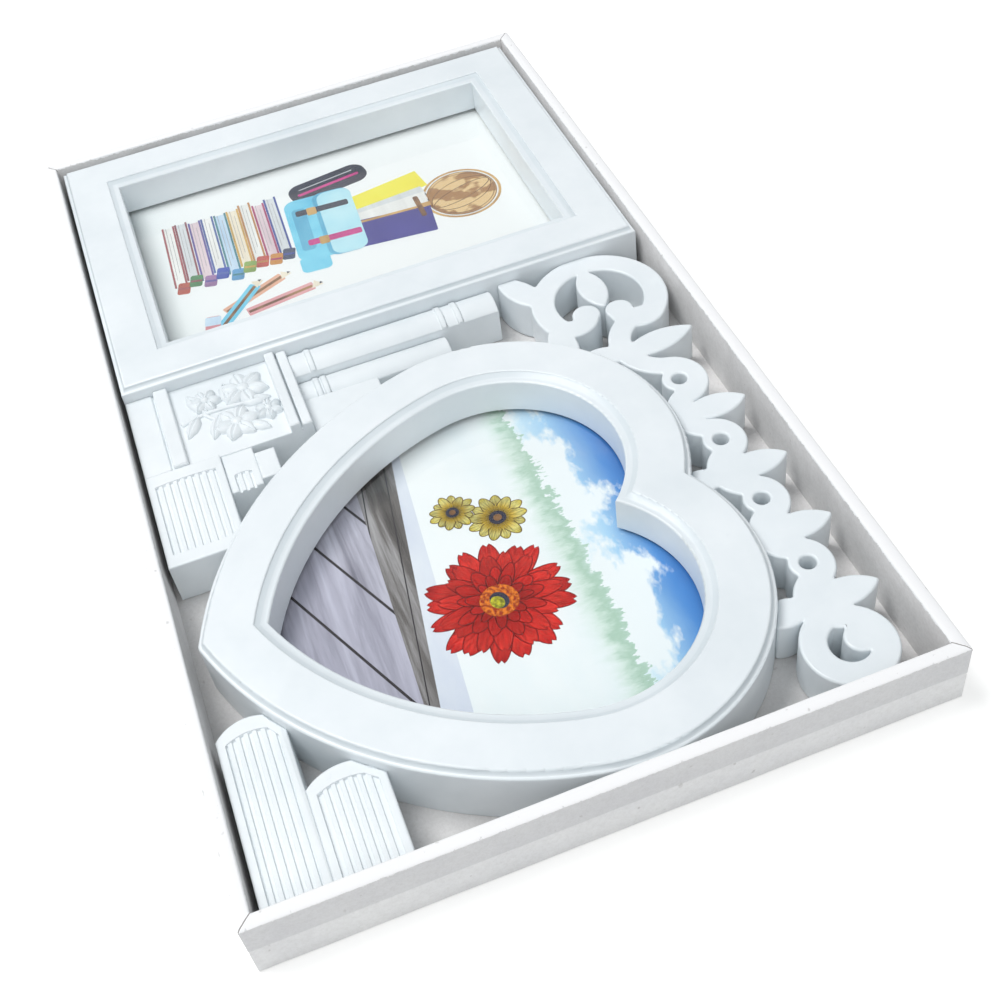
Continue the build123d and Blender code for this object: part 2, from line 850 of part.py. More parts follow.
for name, place, head_z, shank_radius, head_radius in screws():
    with BuildPart() as screw:
        with BuildSketch(Plane.XY.offset(head_z)):
            with Locations(place):
                Circle(head_radius)
        extrude(amount=screw_head_height)
        fillet(edges_at(head_z), screw_head_round)
        with BuildSketch(Plane.XY.offset(head_z + screw_head_height)):
            with Locations(place):
                Circle(shank_radius)
        shank_top = board_back_z + screw_bite - screw_tip_room
        extrude(amount=shank_top - head_z - screw_head_height)
        with BuildSketch(Plane.XY.offset(head_z)):
            with Locations(place):
                Rectangle(head_radius * cross_length_share * 2, cross_width)
                Rectangle(cross_width, head_radius * cross_length_share * 2)
        extrude(amount=cross_depth, mode=Mode.SUBTRACT)
    screw.part.label = name
    export_step(screw.part, f"parts/{name}.step")

# Keyhole hangers: the frame is hung by the slot over each round hole
for name, place, turn in (
    ("hanger_left", hanger_left_place, 90),
    ("hanger_right", hanger_right_place, 0),
):
    with BuildPart() as hanger:
        with BuildSketch(Plane.XY.offset(board_back_z - hanger_thickness)):
            with Locations(Location(place, turn)):
                RectangleRounded(hanger_length, hanger_width, hanger_corner)
                with GridLocations(2 * hanger_screw_reach, 0, 2, 1):
                    Circle(hanger_screw_radius + pivot_clearance, mode=Mode.SUBTRACT)
            with Locations((place[0], place[1] - keyhole_drop)):
                Circle(keyhole_radius, mode=Mode.SUBTRACT)
            with Locations((place[0], place[1] - keyhole_drop + keyhole_rise / 2)):
                SlotOverall(
                    keyhole_rise + 2 * keyhole_slot_radius,
                    2 * keyhole_slot_radius,
                    rotation=90,
                    mode=Mode.SUBTRACT,
                )
        extrude(amount=hanger_thickness)
    hanger.part.label = name
    export_step(hanger.part, f"parts/{name}.step")

# Card tray
with BuildPart() as card_tray:
    with BuildSketch():
        Rectangle(tray_inner_length + 2 * tray_wall, tray_inner_width + 2 * tray_wall)
    extrude(amount=tray_height)
    with BuildSketch(Plane.XY.offset(tray_floor)):
        Rectangle(tray_inner_length, tray_inner_width)
    extrude(amount=tray_height, mode=Mode.SUBTRACT)
    fillet(edges_at(tray_height), tray_edge_round)
card_tray.part.label = "card_tray"
export_step(card_tray.part, "parts/card_tray.step")
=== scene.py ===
import math

import bpy
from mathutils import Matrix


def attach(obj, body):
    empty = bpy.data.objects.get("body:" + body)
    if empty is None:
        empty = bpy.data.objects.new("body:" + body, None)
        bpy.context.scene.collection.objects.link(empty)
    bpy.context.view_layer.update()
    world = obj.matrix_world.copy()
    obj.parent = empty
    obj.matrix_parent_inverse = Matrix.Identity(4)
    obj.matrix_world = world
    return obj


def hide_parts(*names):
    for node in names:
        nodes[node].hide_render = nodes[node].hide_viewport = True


# White moulded wall frame with a rectangular and a heart-shaped window, face up in its card tray.
# Lengths are in metres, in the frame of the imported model. Tables that are in millimetres say so.

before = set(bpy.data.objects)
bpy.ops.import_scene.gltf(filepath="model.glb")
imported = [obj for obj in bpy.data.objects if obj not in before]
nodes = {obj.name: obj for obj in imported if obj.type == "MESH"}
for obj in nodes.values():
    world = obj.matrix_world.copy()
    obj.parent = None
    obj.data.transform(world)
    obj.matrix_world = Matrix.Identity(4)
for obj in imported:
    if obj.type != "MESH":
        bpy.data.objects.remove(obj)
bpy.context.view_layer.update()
bpy.ops.object.select_all(action="DESELECT")
mm = 0.001
origin = (0, 0, 0)
black, white = (0, 0, 0), (1, 1, 1)


# camera, as the photograph was taken
cameraSetup = {
    "location": (0.3275, -0.0554, 0.3136),
    "turn": (41.824, 6.292, 69.862),  # degrees
    "lens": 50.54,
    "nearest": 0.01,
}
bpy.ops.object.camera_add(
    location=cameraSetup["location"],
    rotation=[math.radians(a) for a in cameraSetup["turn"]],
)
camera = bpy.context.object
camera.data.lens = cameraSetup["lens"]
camera.data.clip_start = cameraSetup["nearest"]
camera.data.dof.use_dof = False
bpy.context.scene.camera = camera
bpy.context.scene.view_settings.view_transform = "Standard"
print("camera placed")


# material helpers
def newMaterial(name):
    material = bpy.data.materials.new(name)
    material.use_nodes = True
    return material


def shaderOf(material):
    return material.node_tree.nodes["Principled BSDF"]


def link(material, source, target):
    material.node_tree.links.new(source, target)


def addNode(material, kind, **values):
    node = material.node_tree.nodes.new(kind)
    for name, value in values.items():
        setattr(node, name, value)
    return node


def fill(node, values):
    for name, value in values.items():
        node.inputs[name].default_value = value


def objectPlace(material, stretch=(1, 1, 1), shift=(0, 0, 0), turn=0):
    coord = addNode(material, "ShaderNodeTexCoord")
    mapping = addNode(material, "ShaderNodeMapping")
    turned = (0, 0, math.radians(turn))
    fill(mapping, {"Scale": stretch, "Location": shift, "Rotation": turned})
    link(material, coord.outputs["Object"], mapping.inputs["Vector"])
    return mapping.outputs["Vector"]


def noise(material, scale, detail=3, roughness=0.5, distortion=0, place=None):
    node = addNode(material, "ShaderNodeTexNoise")
    fill(node, {"Scale": scale, "Detail": detail, "Roughness": roughness})
    fill(node, {"Distortion": distortion})
    link(material, place or objectPlace(material), node.inputs["Vector"])
    return node.outputs["Fac"]


def ramp(material, source, stops):
    node = addNode(material, "ShaderNodeValToRGB")
    while len(node.color_ramp.elements) < len(stops):
        node.color_ramp.elements.new(0.5)
    for element, (place, colour) in zip(node.color_ramp.elements, stops):
        element.position = place
        element.color = (*colour, 1)
    link(material, source, node.inputs["Fac"])
    return node.outputs["Color"]


def mask(material, source, low, high):
    return ramp(material, source, [(low, black), (high, white)])


def spread(material, source, low, high, fromLow=0.0, fromHigh=1.0):
    node = addNode(material, "ShaderNodeMapRange")
    fill(node, {"From Min": fromLow, "From Max": fromHigh, "To Min": low, "To Max": high})
    link(material, source, node.inputs["Value"])
    return node.outputs["Result"]


def sums(material, operation, first, second=0):
    node = addNode(material, "ShaderNodeMath", operation=operation)
    for socket, value in zip(node.inputs, (first, second)):
        if isinstance(value, (int, float)):
            socket.default_value = value
        else:
            link(material, value, socket)
    return node.outputs["Value"]


def product(material, first, *others):
    for other in others:
        first = sums(material, "MULTIPLY", first, other)
    return first


def nudged(material, base, source, amount, middle=None):
    if middle is not None:
        source = sums(material, "SUBTRACT", source, middle)
    return sums(material, "ADD", base, sums(material, "MULTIPLY", source, amount))


def blendColours(material, factor, first, second, way="MIX"):
    node = addNode(material, "ShaderNodeMix", data_type="RGBA", blend_type=way)
    sockets = node.inputs[0], node.inputs[6], node.inputs[7]  # 6 and 7 are the two colours
    for socket, value in zip(sockets, (factor, first, second)):
        if isinstance(value, tuple):
            socket.default_value = (*value, 1)
        elif isinstance(value, (int, float)):
            socket.default_value = value
        else:
            link(material, value, socket)
    return node.outputs[2]


def dimmed(material, first, second):
    return blendColours(material, 1.0, first, second, "MULTIPLY")


def surface(material, colour, rough, bump, values):
    height, strength, depth = bump
    shader = shaderOf(material)
    node = addNode(material, "ShaderNodeBump")
    fill(node, {"Strength": strength, "Distance": depth})
    link(material, height, node.inputs["Height"])
    link(material, node.outputs["Normal"], shader.inputs["Normal"])
    link(material, colour, shader.inputs["Base Color"])
    link(material, rough, shader.inputs["Roughness"])
    fill(shader, values)


def axes(material, place=None):
    node = addNode(material, "ShaderNodeSeparateXYZ")
    link(material, place or objectPlace(material), node.inputs["Vector"])
    return node.outputs


# moulded plastic: cloudy cool white, a fine satin skin and faint scuffs
def mouldedPlastic(name, setup):
    material = newMaterial(name)
    clouds = noise(material, setup["cloudScale"], detail=4, roughness=0.6)
    tint = ramp(material, clouds, [(0.3, setup["shade"]), (0.7, setup["colour"])])
    scuffs = noise(material, setup["scuffScale"], detail=6, roughness=0.7, distortion=1.5)
    scuffed = mask(material, scuffs, *setup["scuffStops"])
    scuffed = product(material, scuffed, setup["scuffAmount"])
    tint = blendColours(material, scuffed, tint, setup["scuffColour"])
    # painted shade in the step beside the flat band: the colour darkens between these heights
    height = spread(material, axes(material)["Z"], 0, 1, setup["shadeStepLow"], setup["shadeStepHigh"])
    shadeStepRamp = [(place, setup["shadeStepColour"]) for place in setup["shadeStepStops"]]
    paintedStepShade = ramp(material, height, [(0.0, white), *shadeStepRamp, (1.0, white)])
    rough = spread(material, scuffs, *setup["roughness"], 0.3, 0.7)
    skin = noise(material, setup["skinScale"], detail=2), setup["skinStrength"], setup["skinDepth"]
    coat = {"Coat Weight": setup["coat"], "Coat Roughness": setup["coatRoughness"]}
    surface(material, dimmed(material, tint, paintedStepShade), rough, skin, coat)
    return material


surroundPlastic = {
    "colour": (0.83, 0.875, 0.90),
    "shade": (0.745, 0.80, 0.83),
    "cloudScale": 34,
    "scuffColour": (0.69, 0.74, 0.77),
    "scuffAmount": 0.25,
    "scuffScale": 130,
    "scuffStops": (0.66, 0.74),
    "skinScale": 1500,
    "skinStrength": 0.25,
    "skinDepth": 0.06 * mm,
    "roughness": (0.30, 0.44),
    "coat": 0.18,
    "coatRoughness": 0.3,
    # painted shade: the step between these heights is darkened
    "shadeStepLow": 19.25 * mm,
    "shadeStepHigh": 20.65 * mm,
    "shadeStepStops": (0.25, 0.7),
    "shadeStepColour": (0.86, 0.885, 0.895),
}
reliefPlastic = dict(
    surroundPlastic,
    colour=(0.84, 0.88, 0.90),
    shade=(0.75, 0.80, 0.825),
    scuffAmount=0.4,
    roughness=(0.36, 0.52),
    coat=0.1,
)
surroundFinish = mouldedPlastic("surroundPlastic", surroundPlastic)
reliefFinish = mouldedPlastic("reliefPlastic", reliefPlastic)
print("moulded plastic done")


# shaping helpers
def pick(piece, test, kind="vertices"):
    mesh = piece.data
    for item in list(mesh.vertices) + list(mesh.edges) + list(mesh.polygons):
        item.select = False
    for item in getattr(mesh, kind):
        item.select = bool(test(item))


def everyCorner(corner):
    return True


def edit(mode):
    bpy.ops.object.mode_set(mode="EDIT")
    bpy.ops.mesh.select_mode(type=mode)


def editAll(mode):
    edit(mode)
    bpy.ops.mesh.select_all(action="SELECT")


def leaveEdit():
    bpy.ops.object.mode_set(mode="OBJECT")


def move(piece, test, way):
    pick(piece, test)
    edit("VERT")
    bpy.ops.transform.translate(value=way)
    leaveEdit()


def stretch(piece, test, factors):
    pick(piece, test)
    edit("VERT")
    bpy.ops.transform.resize(value=factors, center_override=origin)
    leaveEdit()


def drawTogether(piece, test, reach):
    pick(piece, test, "polygons")
    edit("FACE")
    bpy.ops.mesh.select_mode(type="VERT")
    bpy.ops.mesh.remove_doubles(threshold=reach)
    leaveEdit()


def only(piece):
    bpy.ops.object.select_all(action="DESELECT")
    piece.select_set(True)
    bpy.context.view_layer.objects.active = piece


def settle(piece):
    only(piece)
    bpy.ops.object.transform_apply(location=True, rotation=True, scale=True)


def workingCopy(nodeName, pieceName):
    mesh = nodes[nodeName].data.copy()
    mesh.name = pieceName
    piece = bpy.data.objects.new(pieceName, mesh)
    bpy.context.collection.objects.link(piece)
    only(piece)
    bpy.ops.mesh.customdata_custom_splitnormals_clear()
    editAll("VERT")
    bpy.ops.mesh.remove_doubles(threshold=0.002 * mm)
    leaveEdit()
    return piece


def modify(piece, kind, **values):
    only(piece)
    modifier = piece.modifiers.new(kind.lower(), kind)
    for name, value in values.items():
        setattr(modifier, name, value)
    bpy.ops.object.modifier_apply(modifier=modifier.name)


def joinAll(pieces, name):
    bpy.ops.object.select_all(action="DESELECT")
    for piece in pieces:
        piece.select_set(True)
    bpy.context.view_layer.objects.active = pieces[0]
    bpy.ops.object.join()
    joined = bpy.context.object
    joined.name = name
    joined.data.name = name
    settle(joined)
    return joined


def smooth(piece, angle):
    only(piece)
    bpy.ops.object.shade_smooth_by_angle(angle=math.radians(angle))


def shadeFlats(piece, angle):
    smooth(piece, angle)
    modify(piece, "WEIGHTED_NORMAL", keep_sharp=True)


def inPlastic(piece, nodeName, finish):
    piece.data.materials.clear()
    piece.data.materials.append(finish)
    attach(piece, "frame")
    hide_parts(nodeName)


# coplanar triangles become one face, and the edges are rounded
def roundEdges(piece, setup):
    editAll("FACE")
    bpy.ops.mesh.dissolve_limited(angle_limit=math.radians(0.3))
    leaveEdit()
    modify(
        piece,
        "BEVEL",
        width=setup["round"],
        segments=setup["segments"],
        limit_method="ANGLE",
        angle_limit=math.radians(setup["sharp"]),
        use_clamp_overlap=False,
        loop_slide=False,
        miter_outer="MITER_ARC",
    )
    # the rounding folds over in close inner corners, and what folds is drawn together
    for reach in setup["folds"]:
        drawTogether(
            piece,
            lambda f: f.normal.z < -0.3 and f.center.z > 5 * mm,
            reach * setup["round"],
        )
    shadeFlats(piece, setup["smoothAngle"])


def moulded(nodeName, pieceName, setup, finish):
    piece = workingCopy(nodeName, pieceName)
    roundEdges(piece, setup)
    inPlastic(piece, nodeName, finish)


# surrounds: the steps down to the bead and to the ledge are drawn out into slopes
surroundSetup = {
    "slopes": ((19.4 * mm, 1.6 * mm), (19.2 * mm, 0.55 * mm)),  # level of the foot, reach
    "levelSlack": 0.01 * mm,
    "floorTilt": 0.99,  # upward part of a face's normal
    "wallTilt": 0.1,
    "wallRise": 0.1 * mm,
    "tipLevel": 19.3 * mm,
    "tipReach": 0.9 * mm,
    "smoothAngle": 58,
}


def drawnOut(nodeName, pieceName, setup, finish):
    piece = workingCopy(nodeName, pieceName)
    mesh = piece.data
    walls, floors = {}, set()
    for face in mesh.polygons:
        for corner in face.vertices:
            low = mesh.vertices[corner].co.z < face.center.z - setup["wallRise"]
            if face.normal.z > setup["floorTilt"]:
                floors.add(corner)
            elif abs(face.normal.z) < setup["wallTilt"] and low:
                walls.setdefault(corner, []).append(face.normal.copy())
    for corner, normals in walls.items():
        for level, reach in setup["slopes"]:
            atLevel = abs(mesh.vertices[corner].co.z - level) < setup["levelSlack"]
            if corner in floors and atLevel:
                first = normals[0]
                last = min(normals, key=first.dot)
                mesh.vertices[corner].co += (first + last) * (reach / (1 + first.dot(last)))
    # the feet that cross in the heart's tip are drawn together
    drawTogether(
        piece, lambda f: f.normal.z < 0 and f.center.z > setup["tipLevel"], setup["tipReach"]
    )
    shadeFlats(piece, setup["smoothAngle"])
    inPlastic(piece, nodeName, finish)


drawnOut("rect_frame", "rectSurround", surroundSetup, surroundFinish)
drawnOut("heart_frame", "heartSurround", surroundSetup, surroundFinish)
print("surrounds done")

# openwork border, thick and flat, its edges rounded over
borderSetup = {
    "round": 0.8 * mm, "segments": 4, "sharp": 60, "smoothAngle": 40, "folds": (0.35, 0.6),
}
moulded("scroll_border", "scrollBorder", borderSetup, surroundFinish)
print("border done")

# books and flower box, with the soft edges of a shallow moulding
bookSetup = {
    "round": 0.4 * mm, "segments": 3, "sharp": 50, "smoothAngle": 45, "folds": (0.35, 0.6),
}
reedSetup = dict(bookSetup, round=0.16 * mm, folds=())  # the reeds are finer
for nodeName, pieceName, setup in (
    ("tall_book", "tallBook", bookSetup),
    ("short_book", "shortBook", bookSetup),
    ("thin_book", "thinBook", bookSetup),
    ("flower_box", "flowerBox", bookSetup),
    ("small_book_upper", "smallBookUpper", reedSetup),
    ("small_book_lower", "smallBookLower", reedSetup),
    ("lying_book_left", "lyingBookLeft", reedSetup),
    ("lying_book_upper", "lyingBookUpper", reedSetup),
    ("lying_book_lower", "lyingBookLower", reedSetup),
):
    moulded(nodeName, pieceName, setup, reliefFinish)
print("books done")


# spray of flowers on the box: crowned petals with a crease, leaves and stems
spraySetup = {
    "base": 14.75 * mm,
    "blossoms": [  # mm: x, y, reach, and the turn in degrees
        (-16.4, -51.8, 8.4, 10),
        (-2.2, -57.0, 7.8, 35),
        (-3.6, -46.4, 4.8, 0),
        (-15.9, -64.4, 5.4, 20),
    ],
    "leaves": [  # mm: x, y at the foot, length, width, and the turn in degrees
        (-10.3, -55.2, 11.0, 4.6, 85),
        (-11.6, -57.8, 10.6, 4.4, 178),
        (-8.9, -61.0, 11.6, 4.6, 338),
        (-10.6, -64.8, 12.0, 4.8, 205),
        (-11.0, -67.6, 10.4, 4.2, 330),
        (-0.8, -54.2, 8.6, 4.0, 52),
    ],
    "stems": [  # mm: x, y
        [(-8.7, -73.6), (-10.9, -68.0), (-11.6, -62.5), (-10.6, -56.5), (-9.7, -51.6)],
        [(-10.6, -66.0), (-7.6, -63.9), (-5.2, -61.6), (-3.0, -58.8)],
    ],
    "petals": 6,
    "petalWidth": 0.66,  # share of the reach
    "petalHeight": 2.2 * mm,
    "leafHeight": 1.7 * mm,
    "crease": 0.34,
    "pinch": 0.72,
    "eyeWidth": 0.26,  # share of the reach
    "eyeHeight": 1.3 * mm,
    "eyeRise": 0.9 * mm,
    "stemRadius": 0.7 * mm,
    "stemRise": 0.2 * mm,
    "smoothAngle": 50,
}
sprayBase = spraySetup["base"]


def crownedLeaf(name, setup):
    bpy.ops.mesh.primitive_uv_sphere_add(
        segments=20, ring_count=14, radius=1, rotation=(0, math.pi / 2, 0)
    )
    leaf = bpy.context.object
    leaf.name = name
    settle(leaf)
    editAll("VERT")
    bpy.ops.mesh.bisect(plane_co=origin, plane_no=(0, 0, 1), clear_inner=True, use_fill=True)
    leaveEdit()
    # the middle crease
    move(leaf, lambda v: abs(v.co.y) < 0.08 and v.co.z > 0.2, (0, 0, -setup["crease"]))
    for place in (0.55, 0.8):  # the tip draws in to a point
        stretch(leaf, lambda v: v.co.x > place, (1, setup["pinch"], 1))
    stretch(leaf, lambda v: v.co.x < -0.5, (1, 0.6, 1))  # and so does the foot
    move(leaf, everyCorner, (1, 0, 0))
    stretch(leaf, everyCorner, (0.5, 0.5, 1))
    editAll("VERT")
    bpy.ops.mesh.normals_make_consistent(inside=False)
    leaveEdit()
    return leaf


def setDown(source, x, y, length, width, height, turn):
    copied = source.copy()
    copied.data = source.data.copy()
    bpy.context.collection.objects.link(copied)
    copied.location = (x * mm, y * mm, sprayBase)
    copied.rotation_euler = (0, 0, math.radians(turn))
    copied.scale = (length * mm, width * mm, height)
    return copied


def stemAlong(points, setup):
    bpy.ops.curve.primitive_nurbs_path_add()
    stem = bpy.context.object
    while len(stem.data.splines[0].points) > len(points):
        bpy.ops.object.mode_set(mode="EDIT")
        bpy.ops.curve.select_all(action="DESELECT")
        stem.data.splines[0].points[-1].select = True
        bpy.ops.curve.delete(type="VERT")
        leaveEdit()
    line = stem.data.splines[0]
    for point, (x, y) in zip(line.points, points):
        point.co = (x * mm, y * mm, sprayBase + setup["stemRise"], 1)
    line.use_endpoint_u = True
    stem.data.bevel_depth = setup["stemRadius"]
    stem.data.use_fill_caps = True
    bpy.ops.object.convert(target="MESH")
    return bpy.context.object


petal = crownedLeaf("petal", spraySetup)
sprayParts = []
for x, y, reach, turn in spraySetup["blossoms"]:
    for step in range(spraySetup["petals"]):
        angle = turn + 360 // spraySetup["petals"] * step
        width = reach * spraySetup["petalWidth"]
        sprayParts.append(setDown(petal, x, y, reach, width, spraySetup["petalHeight"], angle))
    bpy.ops.mesh.primitive_uv_sphere_add(
        segments=16, ring_count=8, radius=1,
        location=(x * mm, y * mm, sprayBase + spraySetup["eyeRise"]),
    )
    eye = bpy.context.object
    eyeRadius = reach * spraySetup["eyeWidth"] * mm
    eye.scale = (eyeRadius, eyeRadius, spraySetup["eyeHeight"])
    sprayParts.append(eye)
for x, y, length, width, turn in spraySetup["leaves"]:
    sprayParts.append(setDown(petal, x, y, length, width, spraySetup["leafHeight"], turn))
for points in spraySetup["stems"]:
    sprayParts.append(stemAlong(points, spraySetup))
bpy.data.objects.remove(petal)
spray = joinAll(sprayParts, "flowerRelief")
smooth(spray, spraySetup["smoothAngle"])
inPlastic(spray, "flower_spray", reliefFinish)
print("flower spray done")


# card tray: paper over card, greyer inside, scuffed at its rim and open at its folded corners
cardSetup = {
    "size": (332.5 * mm, 188.3 * mm, 21.2 * mm),
    "wall": 4.0 * mm,
    "floor": 1.2 * mm,
    "rimRound": 0.7 * mm,
    "slices": 6.0 * mm,
    "waveLength": 20 * mm,
    "waviness": 0.3 * mm,
    "fold": 10.3 * mm,  # height of the crease around the outside
    "foldReach": 0.45 * mm,
    "foldDepth": 0.2 * mm,
    "outside": (0.94, 0.94, 0.935),
    "outsideShade": (0.88, 0.88, 0.885),
    # painted shade on the outside wall above the crease
    "upperShade": (0.85, 0.85, 0.86),
    "upperShadeWander": 0.5 * mm,
    "inside": (0.80, 0.79, 0.785),
    "insideShade": (0.69, 0.68, 0.675),
    "insideOverlap": 1.2 * mm,  # how far the inner paper runs onto the rim
    "underside": 0.6 * mm,
    "pulp": (0.90, 0.895, 0.89),
    "rim": (0.93, 0.93, 0.935),
    "rimBand": 0.75 * mm,
    "rimWander": 1.6 * mm,
    "seam": (0.16, 0.14, 0.13),
    "seamWidth": 0.16 * mm,
    "seamDrop": 1.2 * mm,
    "seamWander": 0.25 * mm,
    "soil": (0.50, 0.48, 0.465),
    "roughness": (0.75, 0.95),
    "gloss": 0.25,
    "bump": 0.45,
    "bumpDepth": 0.12 * mm,
    "smoothAngle": 35,
}
cardX, cardY, cardTop = cardSetup["size"]
halfX, halfY = cardX / 2, cardY / 2


def cardFinish(setup):
    material = newMaterial("whiteCard")
    x, y, z = axes(material)
    blotches = noise(material, 45, detail=5, roughness=0.65)
    fibres = noise(material, 700, detail=3, place=objectPlace(material, stretch=(1, 0.35, 1)))
    outside = ramp(material, blotches, [(0.35, setup["outsideShade"]), (0.62, setup["outside"])])
    inside = ramp(material, blotches, [(0.35, setup["insideShade"]), (0.65, setup["inside"])])
    farX = sums(material, "ABSOLUTE", x)
    farY = sums(material, "ABSOLUTE", y)
    innerWall = setup["wall"] - setup["insideOverlap"]
    withinX = sums(material, "LESS_THAN", farX, halfX - innerWall)
    withinY = sums(material, "LESS_THAN", farY, halfY - innerWall)
    raised = sums(material, "GREATER_THAN", z, setup["underside"])
    isInside = product(material, withinX, withinY, raised)
    # above the crease the outside is a little darker: painted shade
    wander = spread(material, blotches, -setup["upperShadeWander"], setup["upperShadeWander"])
    upperShadeStart = setup["fold"] - 0.2 * mm
    upperShadePart = spread(
        material, sums(material, "ADD", z, wander), 0, 1, upperShadeStart, upperShadeStart + 0.8 * mm
    )
    paintedUpperShade = ramp(material, upperShadePart, [(0, white), (1, setup["upperShade"])])
    colour = blendColours(material, isInside, dimmed(material, outside, paintedUpperShade), inside)
    pulp = noise(material, 900, detail=4, roughness=0.8)
    colour = dimmed(material, colour, ramp(material, pulp, [(0.3, setup["pulp"]), (0.6, white)]))
    # the rim is paler and its torn paper edge wanders
    torn = noise(material, 420, detail=5, roughness=0.75)
    wander = spread(material, torn, -setup["rimWander"], setup["rimWander"])
    height = sums(material, "ADD", z, wander)
    onBand = sums(material, "GREATER_THAN", height, cardTop - setup["rimBand"])
    colour = blendColours(material, onBand, colour, setup["rim"])
    # folded corners: a dark line where the walls meet
    corner = sums(
        material, "SUBTRACT",
        sums(material, "SUBTRACT", farX, halfX), sums(material, "SUBTRACT", farY, halfY),
    )
    jagged = spread(
        material, noise(material, 600, detail=2), -setup["seamWander"], setup["seamWander"]
    )
    corner = sums(material, "ABSOLUTE", sums(material, "ADD", corner, jagged))
    seam = sums(material, "LESS_THAN", corner, setup["seamWidth"])
    onRim = sums(material, "GREATER_THAN", z, cardTop - setup["seamDrop"])
    colour = blendColours(material, product(material, seam, onRim), colour, setup["seam"])
    # a few specks of soil lie about
    specks = mask(material, noise(material, 420, detail=1), 0.74, 0.80)
    colour = blendColours(material, product(material, specks, 0.5), colour, setup["soil"])
    rough = spread(material, blotches, *setup["roughness"])
    bump = nudged(material, fibres, blotches, 2), setup["bump"], setup["bumpDepth"]
    surface(material, colour, rough, bump, {"Specular IOR Level": setup["gloss"]})
    return material


def cutAcross(axis, level):
    place, normal = [0, 0, 0], [0, 0, 0]
    place[axis] = level
    normal[axis] = 1
    editAll("VERT")
    bpy.ops.mesh.bisect(plane_co=place, plane_no=normal)
    leaveEdit()


bpy.ops.mesh.primitive_cube_add(size=1, location=(0, 0, cardTop / 2))
tray = bpy.context.object
tray.name = tray.data.name = "cardTray"
tray.scale = cardSetup["size"]
settle(tray)
pick(tray, lambda f: f.normal.z > 0.9, "polygons")
edit("FACE")
bpy.ops.mesh.inset(thickness=cardSetup["wall"], depth=0)
bpy.ops.mesh.extrude_region_move(
    TRANSFORM_OT_translate={"value": (0, 0, cardSetup["floor"] - cardTop)}
)
leaveEdit()
pick(
    tray,
    lambda e: all(tray.data.vertices[v].co.z > cardTop - mm for v in e.vertices),
    "edges",
)
edit("EDGE")
bpy.ops.mesh.bevel(offset=cardSetup["rimRound"], segments=3, affect="EDGES")
leaveEdit()
# even slices, so that the card can bow a little
only(tray)
for axis, half in ((0, halfX), (1, halfY)):
    count = int(2 * half / cardSetup["slices"])
    for step in range(1, count):
        cutAcross(axis, -half + 2 * half * step / count)
# the crease where the card is folded over outside
for level in (-cardSetup["foldReach"], 0, cardSetup["foldReach"]):
    cutAcross(2, cardSetup["fold"] + level)
outerX, outerY = halfX - mm, halfY - mm


def onCrease(corner):
    atFold = abs(corner.co.z - cardSetup["fold"]) < 0.1 * mm
    return atFold and (abs(corner.co.x) > outerX or abs(corner.co.y) > outerY)


pressed = [1 - cardSetup["foldDepth"] / outer for outer in (outerX, outerY)]
stretch(tray, onCrease, (*pressed, 1))
clouds = bpy.data.textures.new("cardWaves", "CLOUDS")
clouds.noise_scale = cardSetup["waveLength"]
modify(
    tray, "DISPLACE",
    texture=clouds, texture_coords="LOCAL", strength=cardSetup["waviness"], mid_level=1.0,
)
smooth(tray, cardSetup["smoothAngle"])
tray.data.materials.append(cardFinish(cardSetup))
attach(tray, "tray")
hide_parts("card_tray")
print("card tray done")


# printed inserts: ink shapes laid on a paper sheet, layer by layer
printSetup = {
    "paperTop": 6.50 * mm,
    "paperDrop": 0.2 * mm,  # the sheet is thinned by this much, which leaves room for the ink
    "ink": 0.006 * mm,
    "gloss": 0.15,
    "bumpDepth": 0.01 * mm,
    "smoothAngle": 30,
}


def paperSheet(nodeName, pieceName, material):
    sheet = workingCopy(nodeName, pieceName)
    move(sheet, lambda v: v.co.z > printSetup["paperTop"], (0, 0, -printSetup["paperDrop"]))
    sheet.data.materials.clear()
    sheet.data.materials.append(material)
    return sheet


# ink shapes, and the tables of both prints, are in millimetres and degrees
def layDown(shape, centre, x, y, layer, material, turn):
    level = printSetup["paperTop"] + layer * printSetup["ink"]
    shape.rotation_euler = (0, 0, math.radians(turn))
    shape.location = ((centre[0] + x) * mm, (centre[1] + y) * mm, level)
    shape.data.materials.append(material)
    return shape


def inkPlate(centre, x, y, width, height, layer, material, turn=0, corner=0):
    bpy.ops.mesh.primitive_plane_add(size=1, location=origin)
    plate = bpy.context.object
    plate.scale = (width * mm, height * mm, 1)
    settle(plate)
    if corner:
        pick(plate, everyCorner)
        edit("VERT")
        bpy.ops.mesh.bevel(offset=corner * mm, segments=6, affect="VERTICES")
        leaveEdit()
    return layDown(plate, centre, x, y, layer, material, turn)


def inkDisc(centre, x, y, radius, layer, material, stretch=1, turn=0, sides=40):
    bpy.ops.mesh.primitive_circle_add(
        vertices=sides, radius=radius * mm, fill_type="NGON", location=origin
    )
    disc = bpy.context.object
    disc.scale = (stretch, 1, 1)
    return layDown(disc, centre, x, y, layer, material, turn)


def inkRing(centre, x, y, radius, line, layer, material, stretch=1, turn=0):
    ring = inkDisc(centre, x, y, radius, layer, material, stretch, turn)
    place, angle = ring.location.copy(), ring.rotation_euler.copy()
    ring.location, ring.rotation_euler = origin, origin
    settle(ring)
    editAll("FACE")
    bpy.ops.mesh.inset(thickness=line * mm, depth=0)
    bpy.ops.mesh.delete(type="FACE")
    leaveEdit()
    ring.location, ring.rotation_euler = place, angle
    return ring


def inkSurface(material, colour, grain, rough, bump):
    rough = spread(material, grain, *rough)
    bump = (*bump, printSetup["bumpDepth"])
    surface(material, colour, rough, bump, {"Specular IOR Level": printSetup["gloss"]})


